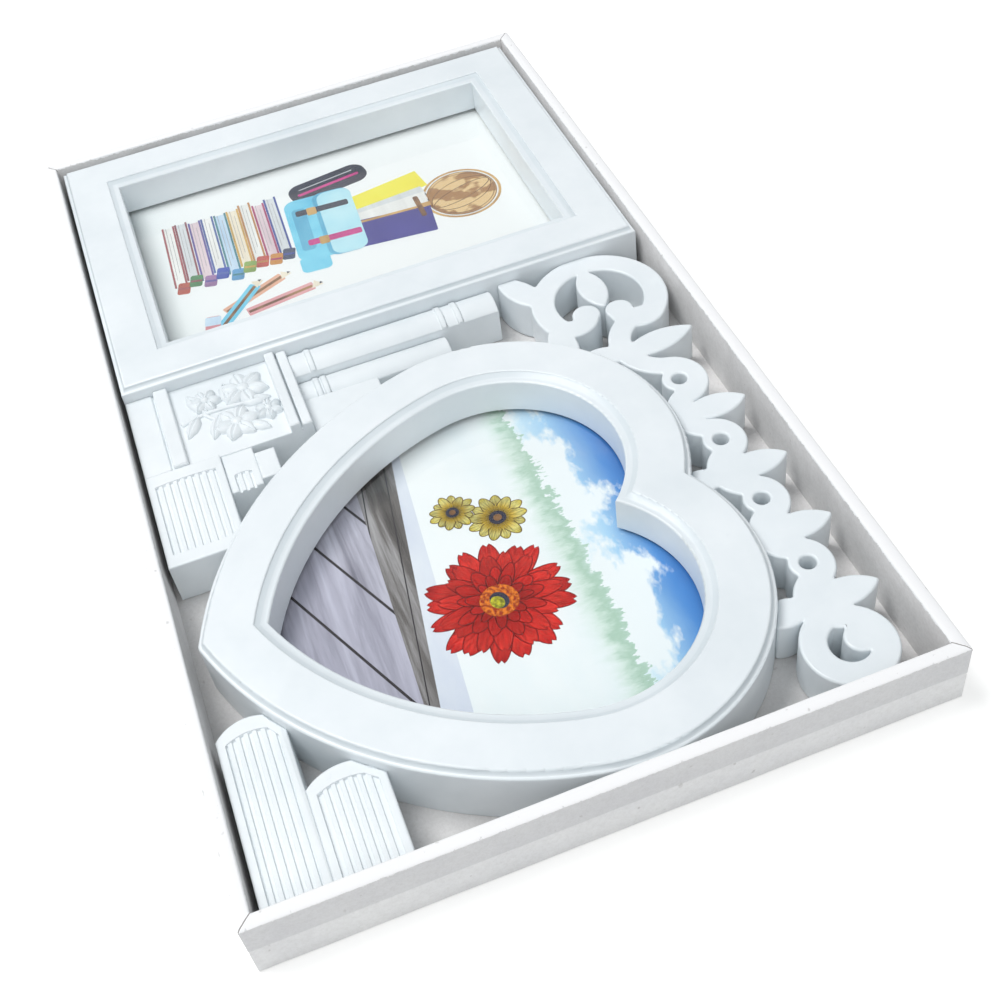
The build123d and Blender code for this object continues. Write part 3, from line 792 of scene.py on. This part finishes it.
def inkColour(name, pale, deep, scale=120, stretch=(1, 1, 1), turn=0, contrast=(0.3, 0.7)):
    material = newMaterial(name)
    place = objectPlace(material, stretch=stretch, turn=turn)
    grain = noise(material, scale, detail=3, place=place)
    tone = ramp(material, grain, [(contrast[0], deep), (contrast[1], pale)])
    inkSurface(material, tone, grain, (0.5, 0.65), (grain, 0.1))
    return material


def finishPrint(parts, name, nodeName):
    inks = joinAll(parts[1:], name + "Inks")
    modify(inks, "SOLIDIFY", thickness=printSetup["ink"], offset=-1)
    piece = joinAll([parts[0], inks], name)
    smooth(piece, printSetup["smoothAngle"])
    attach(piece, "frame")
    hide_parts(nodeName)


# rectangular print: a stack of school books with a satchel, folders and a globe on white
schoolPrint = {
    "centre": (-93.4, 0.0),
    "stackLow": -61.5,
    "bookThick": 4.9,
    "books": [  # spine, cover line, ink of the pages, slide, length
        ((0.62, 0.13, 0.09), (0.45, 0.12, 0.14), "pagesInk", 0, 36),
        ((0.10, 0.30, 0.13), (0.33, 0.10, 0.13), "greyPages", -1.2, 34),
        ((0.45, 0.24, 0.50), (0.16, 0.12, 0.42), "rosePages", 0.8, 35),
        ((0.05, 0.10, 0.48), (0.10, 0.16, 0.45), "pagesInk", -0.4, 33),
        ((0.15, 0.45, 0.80), (0.08, 0.28, 0.33), "bluePages", 1.4, 36),
        ((0.35, 0.55, 0.15), (0.75, 0.45, 0.12), "warmPages", 0.2, 34),
        ((0.70, 0.12, 0.10), (0.60, 0.28, 0.10), "pagesInk", -1.0, 35),
        ((0.75, 0.33, 0.08), (0.45, 0.06, 0.18), "rosePages", 0.9, 33),
        ((0.06, 0.08, 0.16), (0.06, 0.09, 0.35), "greyPages", -0.3, 34),
    ],
    # plates: x, y, width, height, layer, ink, turn, corner
    "satchel": [
        (14.5, -12.5, 9, 11, 10, "cyanInk", -4, 2.2),
        (-6, -4.0, 38, 25, 12, "cyanInk", -4, 4.5),
        (-5.6, 1.7, 39.6, 14.4, 13, "deepCyan", -4, 4),
        (-5.4, 2.6, 39, 13, 14, "paleCyan", -4, 4),
        (-6.6, -11.6, 26, 5.2, 14, "deepCyan", -4, 1.6),
        (-16, -2.2, 3.4, 20, 16, "darkInk", -4, 0.8),
        (-16, -6.2, 4.6, 3.6, 18, "goldInk", -4, 0.6),
        (3, -2.2, 3.4, 20, 16, "magentaInk", -4, 0.8),
        (3, -6.2, 4.6, 3.6, 18, "goldInk", -4, 0.6),
    ],
    "folders": [
        (-13.5, 22, 11, 30, 2, "yellowInk", 9, 0),
        (-5.4, 20.9, 8.6, 29, 4, "greyPages", 5, 0),
        (-3.2, 20.6, 7, 29, 6, "pagesInk", 2, 0),
        (7.6, 19.4, 16, 29, 8, "navyInk", -7, 0.6),
        (0.2, 20.4, 1.3, 28, 10, "goldInk", -4, 0),
    ],
    "pencilCase": [
        (-30, 4, 12, 31, 2, "darkInk", 8, 5),
        (-29.4, 4, 1.5, 25, 4, "magentaInk", 8, 0.6),
        (-32.4, 3.6, 0.5, 22, 4, "greyPages", 8, 0),
    ],
    "globe": (0.5, 47.5),
    "globeDiscs": [  # radius, layer, ink
        (14.8, 2, "goldInk"), (13.8, 4, "pagesInk"), (13.2, 5, "brownInk"), (12.8, 6, "globeInk"),
    ],
    "meridians": (0.95, 0.62, 0.3),
    "globeFoot": [
        (0.8, 33.0, 2.6, 4.4, 14, "goldInk", 0, 0),
        (0.8, 31.0, 13, 2.0, 16, "brownInk", 0, 0.8),
    ],
    "pencils": [  # x, y, turn, ink
        (21, -37, 24, "peachInk"), (28, -29, 8, "roseInk"), (25.5, -44, 47, "cyanInk"),
    ],
    "eraser": [
        (30.5, -54, 9, 5.4, 14, "roseInk", -12, 1),
        (28.6, -53.6, 4.6, 5.6, 16, "bluePages", -12, 0.6),
    ],
    # paper tone, greyer and bluer towards the foot: painted shade
    "paper": [(0.0, (0.84, 0.88, 0.89)), (0.6, (0.94, 0.945, 0.95)), (1.0, (0.955, 0.957, 0.96))],
}
pageGrain = 260, (0.12, 1, 1)
inks = {
    name: inkColour(name, *values)
    for name, values in {  # pale, deep, scale of the grain, its stretch, turn and contrast
        "pagesInk": ((0.93, 0.92, 0.90), (0.78, 0.77, 0.75), *pageGrain),
        "warmPages": ((0.93, 0.85, 0.70), (0.82, 0.72, 0.58), *pageGrain),
        "greyPages": ((0.78, 0.80, 0.82), (0.62, 0.64, 0.67), *pageGrain),
        "rosePages": ((0.82, 0.68, 0.72), (0.70, 0.55, 0.60), *pageGrain),
        "bluePages": ((0.62, 0.76, 0.90), (0.46, 0.62, 0.80), *pageGrain),
        "leafShadow": ((0.42, 0.40, 0.42), (0.28, 0.26, 0.28), 260),
        "roseInk": ((0.82, 0.42, 0.44), (0.66, 0.24, 0.28), 60),
        "deepCyan": ((0.16, 0.52, 0.72), (0.08, 0.38, 0.60), 70),
        "cyanInk": ((0.26, 0.72, 0.90), (0.13, 0.55, 0.78), 70),
        "paleCyan": ((0.60, 0.87, 0.94), (0.42, 0.76, 0.88), 70),
        "navyInk": ((0.075, 0.065, 0.34), (0.045, 0.04, 0.24), 60),
        "yellowInk": ((0.96, 0.90, 0.10), (0.90, 0.78, 0.05), 60),
        "darkInk": ((0.045, 0.045, 0.075), (0.02, 0.02, 0.04), 90),
        "magentaInk": ((0.70, 0.05, 0.30), (0.50, 0.03, 0.20), 90),
        "peachInk": ((0.86, 0.50, 0.36), (0.72, 0.34, 0.22), 60),
        "brownInk": ((0.42, 0.22, 0.09), (0.16, 0.07, 0.03), 75, (1, 1, 1), 0, (0.42, 0.58)),
        "goldInk": ((0.72, 0.44, 0.16), (0.45, 0.24, 0.08), 90),
        "globeInk": (
            (0.80, 0.56, 0.28), (0.40, 0.20, 0.075), 125, (1, 0.75, 1), 25, (0.49, 0.54),
        ),
    }.items()
}

schoolPaper = newMaterial("schoolPaper")
paperTone = noise(schoolPaper, 30, detail=2)
# painted shade: the paper darkens towards the foot of the print
paintedPaperShade = nudged(schoolPaper, axes(schoolPaper)["Y"], paperTone, 0.02)
paintedPaperShade = spread(schoolPaper, paintedPaperShade, 0, 1, -0.062, -0.03)
inkSurface(
    schoolPaper, ramp(schoolPaper, paintedPaperShade, schoolPrint["paper"]), paperTone, (0.5, 0.6),
    (noise(schoolPaper, 2500), 0.1),
)

schoolParts = [paperSheet("rect_print", "schoolPrint", schoolPaper)]
home = schoolPrint["centre"]


def layPlates(rows):
    for x, y, width, height, layer, ink, turn, corner in rows:
        schoolParts.append(inkPlate(home, x, y, width, height, layer, inks[ink], turn, corner))


bookThick = schoolPrint["bookThick"]
for number, (spineTone, lineTone, pages, slide, length) in enumerate(schoolPrint["books"]):
    inks["spine"] = inkColour(f"spine{number}", spineTone, tuple(c * 0.6 for c in spineTone), 80)
    inks["cover"] = inkColour(f"cover{number}", lineTone, tuple(c * 0.7 for c in lineTone), 80)
    level = schoolPrint["stackLow"] + bookThick * (number + 0.5)
    middle = -14 + slide
    spineX = middle + length / 2 + 2.0
    raised = number % 2 * 2  # every other spine lies over its neighbours
    layPlates([
        (middle, level, length, 4.0, 1, pages, -3, 0),
        (middle, level - 2.0, length + 1.4, 0.75, 2, "cover", -3, 0),
        (middle, level + 2.0, length + 1.4, 0.75, 2, "cover", -3, 0),
        # shadows between the leaves
        (middle - 2, level - 0.7, length * 0.9, 0.16, 3, "leafShadow", -3, 0),
        (middle - 2, level + 0.6, length * 0.7, 0.16, 3, "leafShadow", -3, 0),
        (spineX, level - 0.3, 6.4, bookThick - 0.3, 4 + raised, "spine", -16, 0.9),
        (spineX, level - 0.3, 1.1, bookThick - 0.9, 5 + raised, "cover", -16, 0),
    ])
layPlates(schoolPrint["satchel"])
layPlates(schoolPrint["folders"])
layPlates(schoolPrint["pencilCase"])
for radius, layer, ink in schoolPrint["globeDiscs"]:
    schoolParts.append(inkDisc(home, *schoolPrint["globe"], radius, layer, inks[ink]))
for order, narrow in enumerate(schoolPrint["meridians"]):
    schoolParts.append(
        inkRing(home, *schoolPrint["globe"], 12.6, 0.32, 8 + order, inks["brownInk"], narrow, 18)
    )
layPlates(schoolPrint["globeFoot"])
for order, (x, y, turn, ink) in enumerate(schoolPrint["pencils"]):
    slantX, slantY = math.sin(math.radians(turn)), math.cos(math.radians(turn))
    layer = 1 + order * 4
    layPlates([
        (x, y, 4.4, 25, layer, ink, turn, 0.4),
        (x, y, 1.3, 24, layer + 1, "brownInk", turn, 0),
    ])
    # sharpened wood, then the lead
    for along, radius, above, tone in ((13.6, 2.55, 2, "warmPages"), (15.2, 0.8, 3, "darkInk")):
        tipX, tipY = x - along * slantX, y + along * slantY
        schoolParts.append(
            inkDisc(home, tipX, tipY, radius, layer + above, inks[tone], 1, turn + 90, 3)
        )
layPlates(schoolPrint["eraser"])
finishPrint(schoolParts, "schoolPrint", "rect_print")
print("rectangular print done")


# heart print: a red flower over weathered boards, with misty hills and a blue sky
gardenPrint = {
    "centre": (81.85, 0.0),
    "flower": (9.5, -5.0),
    "reach": 20.5,
    # petals, length, width, first turn
    "rings": ((17, 20.8, 6.6, 0), (15, 17.4, 5.6, 9), (13, 12.6, 4.2, 3), (11, 8.8, 3.2, 14)),
    "daisies": ((-19.5, 5.0, 8.6, 1), (-27.0, -6.5, 6.6, 11)),  # x, y, reach, first layer
    "daisyPetals": 13,
    "sky": [
        (0.0, (0.78, 0.90, 0.95)), (0.35, (0.42, 0.66, 0.88)),
        (0.75, (0.09, 0.28, 0.66)), (1.0, (0.035, 0.16, 0.50)),
    ],
    "cloud": (0.90, 0.93, 0.95),
    "hills": [
        (0.0, (0.88, 0.93, 0.94)), (0.4, (0.70, 0.82, 0.75)),
        (0.75, (0.44, 0.62, 0.50)), (1.0, (0.60, 0.74, 0.68)),
    ],
    "mist": [(0.3, (0.84, 0.90, 0.93)), (0.6, (0.93, 0.95, 0.96))],
    "haze": [(0.35, (0.62, 0.66, 0.80)), (0.65, (0.80, 0.83, 0.90))],
    "darkBoards": {
        "turn": 9,
        "perMetre": 130,
        "tones": [
            (0.34, (0.03, 0.026, 0.025)), (0.5, (0.15, 0.135, 0.13)), (0.68, (0.42, 0.40, 0.41)),
        ],
        "tint": (0.30, 0.29, 0.31),
        "tintShare": 0.6,
    },
    "paleSlabs": {
        "turn": -24,
        "perMetre": 62,
        "tones": [
            (0.3, (0.10, 0.095, 0.12)), (0.48, (0.36, 0.345, 0.41)), (0.7, (0.66, 0.645, 0.74)),
        ],
        "tint": (0.62, 0.60, 0.74),
        "tintShare": 0.75,
    },
    "joint": (0.04, 0.035, 0.04),
    "red": [
        (0.15, (0.34, 0.015, 0.010)), (0.45, (0.72, 0.020, 0.014)),
        (0.8, (0.86, 0.040, 0.028)), (1.0, (0.70, 0.02, 0.018)),
    ],
    "redShade": [
        (0.2, (0.10, 0.006, 0.006)), (0.6, (0.22, 0.008, 0.008)), (1.0, (0.34, 0.012, 0.012)),
    ],
    "yellow": [
        (0.2, (0.10, 0.05, 0.01)), (0.5, (0.76, 0.50, 0.05)),
        (0.8, (0.95, 0.84, 0.28)), (1.0, (0.90, 0.72, 0.12)),
    ],
    "yellowShade": [(0.2, (0.04, 0.02, 0.01)), (1.0, (0.24, 0.15, 0.03))],
}
garden = newMaterial("gardenPaper")
gardenX, gardenY, _ = axes(garden)
place = objectPlace(garden, stretch=(0.6, 1.6, 1))
wide = noise(garden, 28, detail=5, roughness=0.6, place=place)
fine = noise(garden, 170, detail=4, roughness=0.7)
skyPart = spread(garden, nudged(garden, gardenY, wide, 0.010, 0.5), 0, 1, 0.022, 0.047)
place = objectPlace(garden, stretch=(0.7, 1.2, 1), shift=(0.31, 0.1, 0))
puffs = noise(garden, 55, detail=6, roughness=0.62, place=place)
puffs = nudged(garden, puffs, spread(garden, gardenY, 1, 0, 0.026, 0.041), 0.22)
colour = blendColours(
    garden, mask(garden, puffs, 0.61, 0.69),
    ramp(garden, skyPart, gardenPrint["sky"]), gardenPrint["cloud"],
)
place = objectPlace(garden, stretch=(1, 0.35, 1))
treeTops = noise(garden, 420, detail=3, roughness=0.7, place=place)
hillEdge = nudged(garden, gardenY, treeTops, 0.012, 0.5)
hillEdge = nudged(garden, hillEdge, wide, 0.010, 0.5)
inHills = product(
    garden, sums(garden, "LESS_THAN", hillEdge, 0.0225), sums(garden, "GREATER_THAN", gardenY, 0.0)
)
hillPart = nudged(garden, spread(garden, gardenY, 0, 1, 0.012, 0.024), treeTops, 1.1, 0.5)
colour = blendColours(garden, inHills, colour, ramp(garden, hillPart, gardenPrint["hills"]))
inMist = spread(garden, nudged(garden, gardenY, wide, 0.006), 1, 0, 0.0125, 0.0205)
colour = blendColours(garden, inMist, colour, ramp(garden, wide, gardenPrint["mist"]))
inHaze = sums(garden, "LESS_THAN", nudged(garden, gardenY, gardenX, 0.10), -0.0115)
colour = blendColours(garden, inHaze, colour, ramp(garden, wide, gardenPrint["haze"]))


# boards: their own tone each, grain along them and dark joints
def boardField(setup):
    across = axes(garden, objectPlace(garden, turn=setup["turn"]))["Y"]
    rows = sums(garden, "MULTIPLY", across, setup["perMetre"])
    tone = addNode(garden, "ShaderNodeTexWhiteNoise", noise_dimensions="1D")
    link(garden, sums(garden, "FLOOR", rows), tone.inputs["W"])
    along = objectPlace(garden, stretch=(0.16, 2.2, 1), turn=setup["turn"])
    grain = noise(garden, 90, detail=7, roughness=0.7, distortion=0.4, place=along)
    tintPart = product(garden, tone.outputs["Value"], setup["tintShare"])
    wood = blendColours(garden, tintPart, ramp(garden, grain, setup["tones"]), setup["tint"])
    joint = sums(garden, "LESS_THAN", sums(garden, "FRACT", rows), 0.05)
    return blendColours(garden, joint, wood, gardenPrint["joint"]), across


darkBoards, boardsAcross = boardField(gardenPrint["darkBoards"])
paleSlabs, slabsAcross = boardField(gardenPrint["paleSlabs"])
onBoards = sums(garden, "LESS_THAN", boardsAcross, -0.0125)
colour = blendColours(garden, onBoards, colour, darkBoards)
onSlabs = sums(garden, "LESS_THAN", nudged(garden, boardsAcross, slabsAcross, 0.22), -0.034)
colour = blendColours(garden, onSlabs, colour, paleSlabs)
inkSurface(garden, colour, fine, (0.5, 0.6), (fine, 0.08))


def petalInk(name, centre, stops, streak):
    material = newMaterial(name)
    place = objectPlace(material, shift=(-centre[0] * mm, -centre[1] * mm, 0))
    x, y, _ = axes(material, place)
    squares = sums(material, "ADD", product(material, x, x), product(material, y, y))
    distance = sums(material, "SQRT", squares)
    polar = addNode(material, "ShaderNodeCombineXYZ")
    link(material, product(material, sums(material, "ARCTAN2", y, x), 9.0), polar.inputs["X"])
    link(material, product(material, distance, 120), polar.inputs["Y"])
    veins = noise(material, 2.2, detail=4, roughness=0.65, place=polar.outputs["Vector"])
    tone = ramp(material, product(material, distance, 1 / (centre[2] * mm)), stops)
    shade = ramp(material, veins, [(0.34, (streak,) * 3), (0.6, white)])
    eachPetal = addNode(material, "ShaderNodeNewGeometry")
    island = spread(material, eachPetal.outputs["Random Per Island"], 0.7, 1.0)
    painted = dimmed(material, dimmed(material, tone, shade), island)
    inkSurface(material, painted, veins, (0.5, 0.6), (veins, 0.1))
    return material


def inkPetal(centre, length, width, layer, material, turn, notch=0):
    bpy.ops.mesh.primitive_circle_add(vertices=28, radius=1, fill_type="NGON", location=origin)
    leaf = bpy.context.object
    stretch(leaf, lambda v: v.co.x < -0.2, (1, 0.45, 1))  # narrow foot
    if notch:  # a small dip in the tip
        move(leaf, lambda v: v.co.x > 0.99, (-notch, 0, 0))
    move(leaf, everyCorner, (1, 0, 0))
    stretch(leaf, everyCorner, (length * mm / 2, width * mm / 2, 1))
    return layDown(leaf, centre, 0, 0, layer, material, turn)


def placeInHeart(x, y):
    return gardenPrint["centre"][0] + x, gardenPrint["centre"][1] + y


bloom = placeInHeart(*gardenPrint["flower"])
redInk = petalInk("redPetals", (*bloom, gardenPrint["reach"]), gardenPrint["red"], 0.5)
redShade = petalInk("petalShade", (*bloom, gardenPrint["reach"]), gardenPrint["redShade"], 0.7)
orangeInk = inkColour(
    "orangeInk", (0.80, 0.22, 0.02), (0.36, 0.04, 0.01), 900, contrast=(0.42, 0.58)
)
limeInk = inkColour("limeInk", (0.62, 0.58, 0.04), (0.20, 0.20, 0.02), 700, contrast=(0.4, 0.6))
gardenParts = [paperSheet("heart_print", "gardenPrint", garden)]
for ring, (count, length, width, offset) in enumerate(gardenPrint["rings"]):
    for step in range(count):
        wobble = math.sin(step * 2.4 + ring)
        turn = offset + 360 / count * step + 4 * wobble
        size, breadth = length + 0.9 * wobble, width + 0.6 * math.cos(step * 1.7)
        level = 1 + ring * 6 + (4 if step == count - 1 else step % 2 * 2)
        notch = 0.12 if ring < 2 else 0
        gardenParts.append(
            inkPetal(bloom, size + 0.35, breadth + 0.75, level, redShade, turn, notch)
        )
        gardenParts.append(inkPetal(bloom, size, breadth, level + 1, redInk, turn, notch))
gardenParts.append(inkDisc(bloom, 0, 0, 5.6, 26, orangeInk, sides=31))
gardenParts.append(inkDisc(bloom, 0, 0, 2.6, 28, inks["darkInk"], 1.2, 20))
gardenParts.append(inkDisc(bloom, 0.5, -0.7, 1.9, 30, limeInk, 1.2, 20))
# two small dark-eyed daisies
for x, y, size, first in gardenPrint["daisies"]:
    daisy = placeInHeart(x, y)
    yellowInk = petalInk(f"yellowPetals{int(size)}", (*daisy, size), gardenPrint["yellow"], 0.25)
    yellowShade = petalInk(
        f"yellowShade{int(size)}", (*daisy, size), gardenPrint["yellowShade"], 0.6
    )
    count = gardenPrint["daisyPetals"]
    for step in range(count):
        level = first + (4 if step == count - 1 else step % 2 * 2)
        length, width = size + 0.5 * math.sin(step * 2.1), size * 0.42
        turn = 360 / count * step
        gardenParts.append(inkPetal(daisy, length + 0.3, width + 0.6, level, yellowShade, turn))
        gardenParts.append(inkPetal(daisy, length, width, level + 1, yellowInk, turn))
    gardenParts.append(inkDisc(daisy, 0, 0, size * 0.3, first + 7, inks["darkInk"], sides=23))
    gardenParts.append(inkDisc(daisy, 0, 0, size * 0.15, first + 9, inks["brownInk"], sides=17))
finishPrint(gardenParts, "gardenPrint", "heart_print")
print("heart print done")


# clear panes: faint green tint, thin film of dust, reflections by angle
paneSetup = {
    "tint": (0.985, 0.995, 0.992, 1),
    "roughness": (0.02, 0.10),
    "refraction": 1.45,
    "reflection": 0.14,  # share of the mirror at its strongest
}


def paneFinish(setup):
    material = newMaterial("clearPane")
    material.node_tree.nodes.remove(shaderOf(material))
    output = material.node_tree.nodes["Material Output"]
    clear = addNode(material, "ShaderNodeBsdfTransparent")
    fill(clear, {"Color": setup["tint"]})
    gloss = addNode(material, "ShaderNodeBsdfGlossy")
    smears = spread(material, noise(material, 60, detail=3), *setup["roughness"])
    link(material, smears, gloss.inputs["Roughness"])
    fresnel = addNode(material, "ShaderNodeFresnel")
    fill(fresnel, {"IOR": setup["refraction"]})
    part = product(material, fresnel.outputs["Fac"], setup["reflection"])
    mix = addNode(material, "ShaderNodeMixShader")
    link(material, part, mix.inputs["Fac"])
    link(material, clear.outputs["BSDF"], mix.inputs[1])
    link(material, gloss.outputs["BSDF"], mix.inputs[2])
    link(material, mix.outputs["Shader"], output.inputs["Surface"])
    return material


pane = paneFinish(paneSetup)
for name in ("rect_pane", "heart_pane"):
    nodes[name].material_slots[0].material = pane
print("panes done")


# backing boards: brown pressed fibre
boardSetup = {
    "tones": [(0.3, (0.16, 0.095, 0.05)), (0.5, (0.30, 0.19, 0.11)), (0.7, (0.42, 0.29, 0.18))],
    "roughness": (0.65, 0.9),
}


def fibreFinish(setup):
    material = newMaterial("fibreBoard")
    clumps = noise(material, 160, detail=6, roughness=0.75)
    place = objectPlace(material, stretch=(1, 0.25, 1), turn=28)
    fibres = noise(material, 1400, detail=3, place=place)
    mixed = nudged(material, product(material, clumps, 0.6), fibres, 0.4)
    rough = spread(material, clumps, *setup["roughness"])
    tone = ramp(material, mixed, setup["tones"])
    surface(material, tone, rough, (mixed, 0.5, 0.1 * mm), {})
    return material


board = fibreFinish(boardSetup)
for name in ("rect_backing", "heart_backing"):
    nodes[name].material_slots[0].material = board


# plated steel for the turn-buttons, screws and hangers, brushed and a little tarnished
def steelFinish(name, setup):
    material = newMaterial(name)
    place = objectPlace(material, stretch=setup["brush"])
    brushed = noise(material, setup["brushScale"], detail=3, place=place)
    tarnish = noise(material, setup["tarnishScale"], detail=5, roughness=0.7)
    tone = ramp(material, tarnish, [(0.35, setup["dull"]), (0.6, setup["bright"])])
    rough = spread(material, brushed, *setup["roughness"])
    surface(material, tone, rough, (brushed, 0.2, 0.02 * mm), {"Metallic": 1.0})
    return material


buttonSteel = {
    "bright": (0.72, 0.72, 0.70),
    "dull": (0.50, 0.49, 0.46),
    "brush": (1, 12, 1),
    "brushScale": 400,
    "tarnishScale": 260,
    "roughness": (0.28, 0.5),
}
screwSteel = dict(
    buttonSteel,
    bright=(0.70, 0.66, 0.50),
    dull=(0.50, 0.43, 0.28),
    brush=(1, 1, 6),
    brushScale=900,
)
hangerSteel = dict(
    buttonSteel, bright=(0.76, 0.77, 0.78), dull=(0.56, 0.57, 0.58), brush=(10, 1, 1)
)
steels = {
    "turn_button_steel": steelFinish("buttonSteel", buttonSteel),
    "screw_steel": steelFinish("screwSteel", screwSteel),
    "hanger_steel": steelFinish("hangerSteel", hangerSteel),
}
for node in nodes.values():
    slotName = node.material_slots[0].material.name if node.material_slots else ""
    if slotName in steels:
        node.material_slots[0].material = steels[slotName]
print("backs and fittings done")


# pale floor, which turns white for the eye and keeps the tray's shadow
floorSetup = {
    "size": 6,
    "level": -0.2 * mm,
    "tones": [(0.3, (0.80, 0.80, 0.79)), (0.7, (0.82, 0.82, 0.81))],
    "values": {"Roughness": 0.9, "Specular IOR Level": 0.1, "Emission Color": (1, 1, 0.99, 1)},
    "glow": 0.42,
}
bpy.ops.mesh.primitive_plane_add(size=floorSetup["size"], location=(0, 0, floorSetup["level"]))
floor = bpy.context.object
floor.name = "studioFloor"
floorPaper = newMaterial("studioPaper")
floorShader = shaderOf(floorPaper)
floorTone = ramp(floorPaper, noise(floorPaper, 3, detail=2), floorSetup["tones"])
link(floorPaper, floorTone, floorShader.inputs["Base Color"])
fill(floorShader, floorSetup["values"])


def directlySeen(material):
    path = addNode(material, "ShaderNodeLightPath").outputs
    seen = sums(material, "MAXIMUM", path["Is Camera Ray"], path["Is Glossy Ray"])
    return sums(material, "MAXIMUM", seen, path["Is Transmission Ray"])


glow = product(floorPaper, directlySeen(floorPaper), floorSetup["glow"])
link(floorPaper, glow, floorShader.inputs["Emission Strength"])
floor.data.materials.append(floorPaper)

# soft studio light: an even pale world that looks white, and two round lamps
worldSetup = {
    "light": {"Color": (0.93, 0.965, 1.0, 1), "Strength": 0.39},
    "backdrop": {"Color": (1, 1, 1, 1), "Strength": 1.0},
}
world = bpy.data.worlds.new("studioWorld")
bpy.context.scene.world = world
world.use_nodes = True
ambient = world.node_tree.nodes["Background"]
backdrop = addNode(world, "ShaderNodeBackground")
fill(ambient, worldSetup["light"])
fill(backdrop, worldSetup["backdrop"])
worldMix = addNode(world, "ShaderNodeMixShader")
link(world, directlySeen(world), worldMix.inputs["Fac"])
link(world, ambient.outputs["Background"], worldMix.inputs[1])
link(world, backdrop.outputs["Background"], worldMix.inputs[2])
link(world, worldMix.outputs["Shader"], world.node_tree.nodes["World Output"].inputs["Surface"])

lamps = {
    "keyLamp": {"location": (-0.30, -0.50, 1.35), "size": 0.8, "power": 13.8},
    "fillLamp": {"location": (1.05, -0.15, 0.80), "size": 1.2, "power": 4.4},
}
for name, setup in lamps.items():
    bpy.ops.object.light_add(type="AREA", location=setup["location"])
    lamp = bpy.context.object
    lamp.name = name
    lamp.data.shape = "DISK"
    lamp.data.size = setup["size"]
    lamp.data.energy = setup["power"]
    lamp.rotation_euler = (-lamp.location).to_track_quat("-Z", "Y").to_euler()
print("stage and light done")
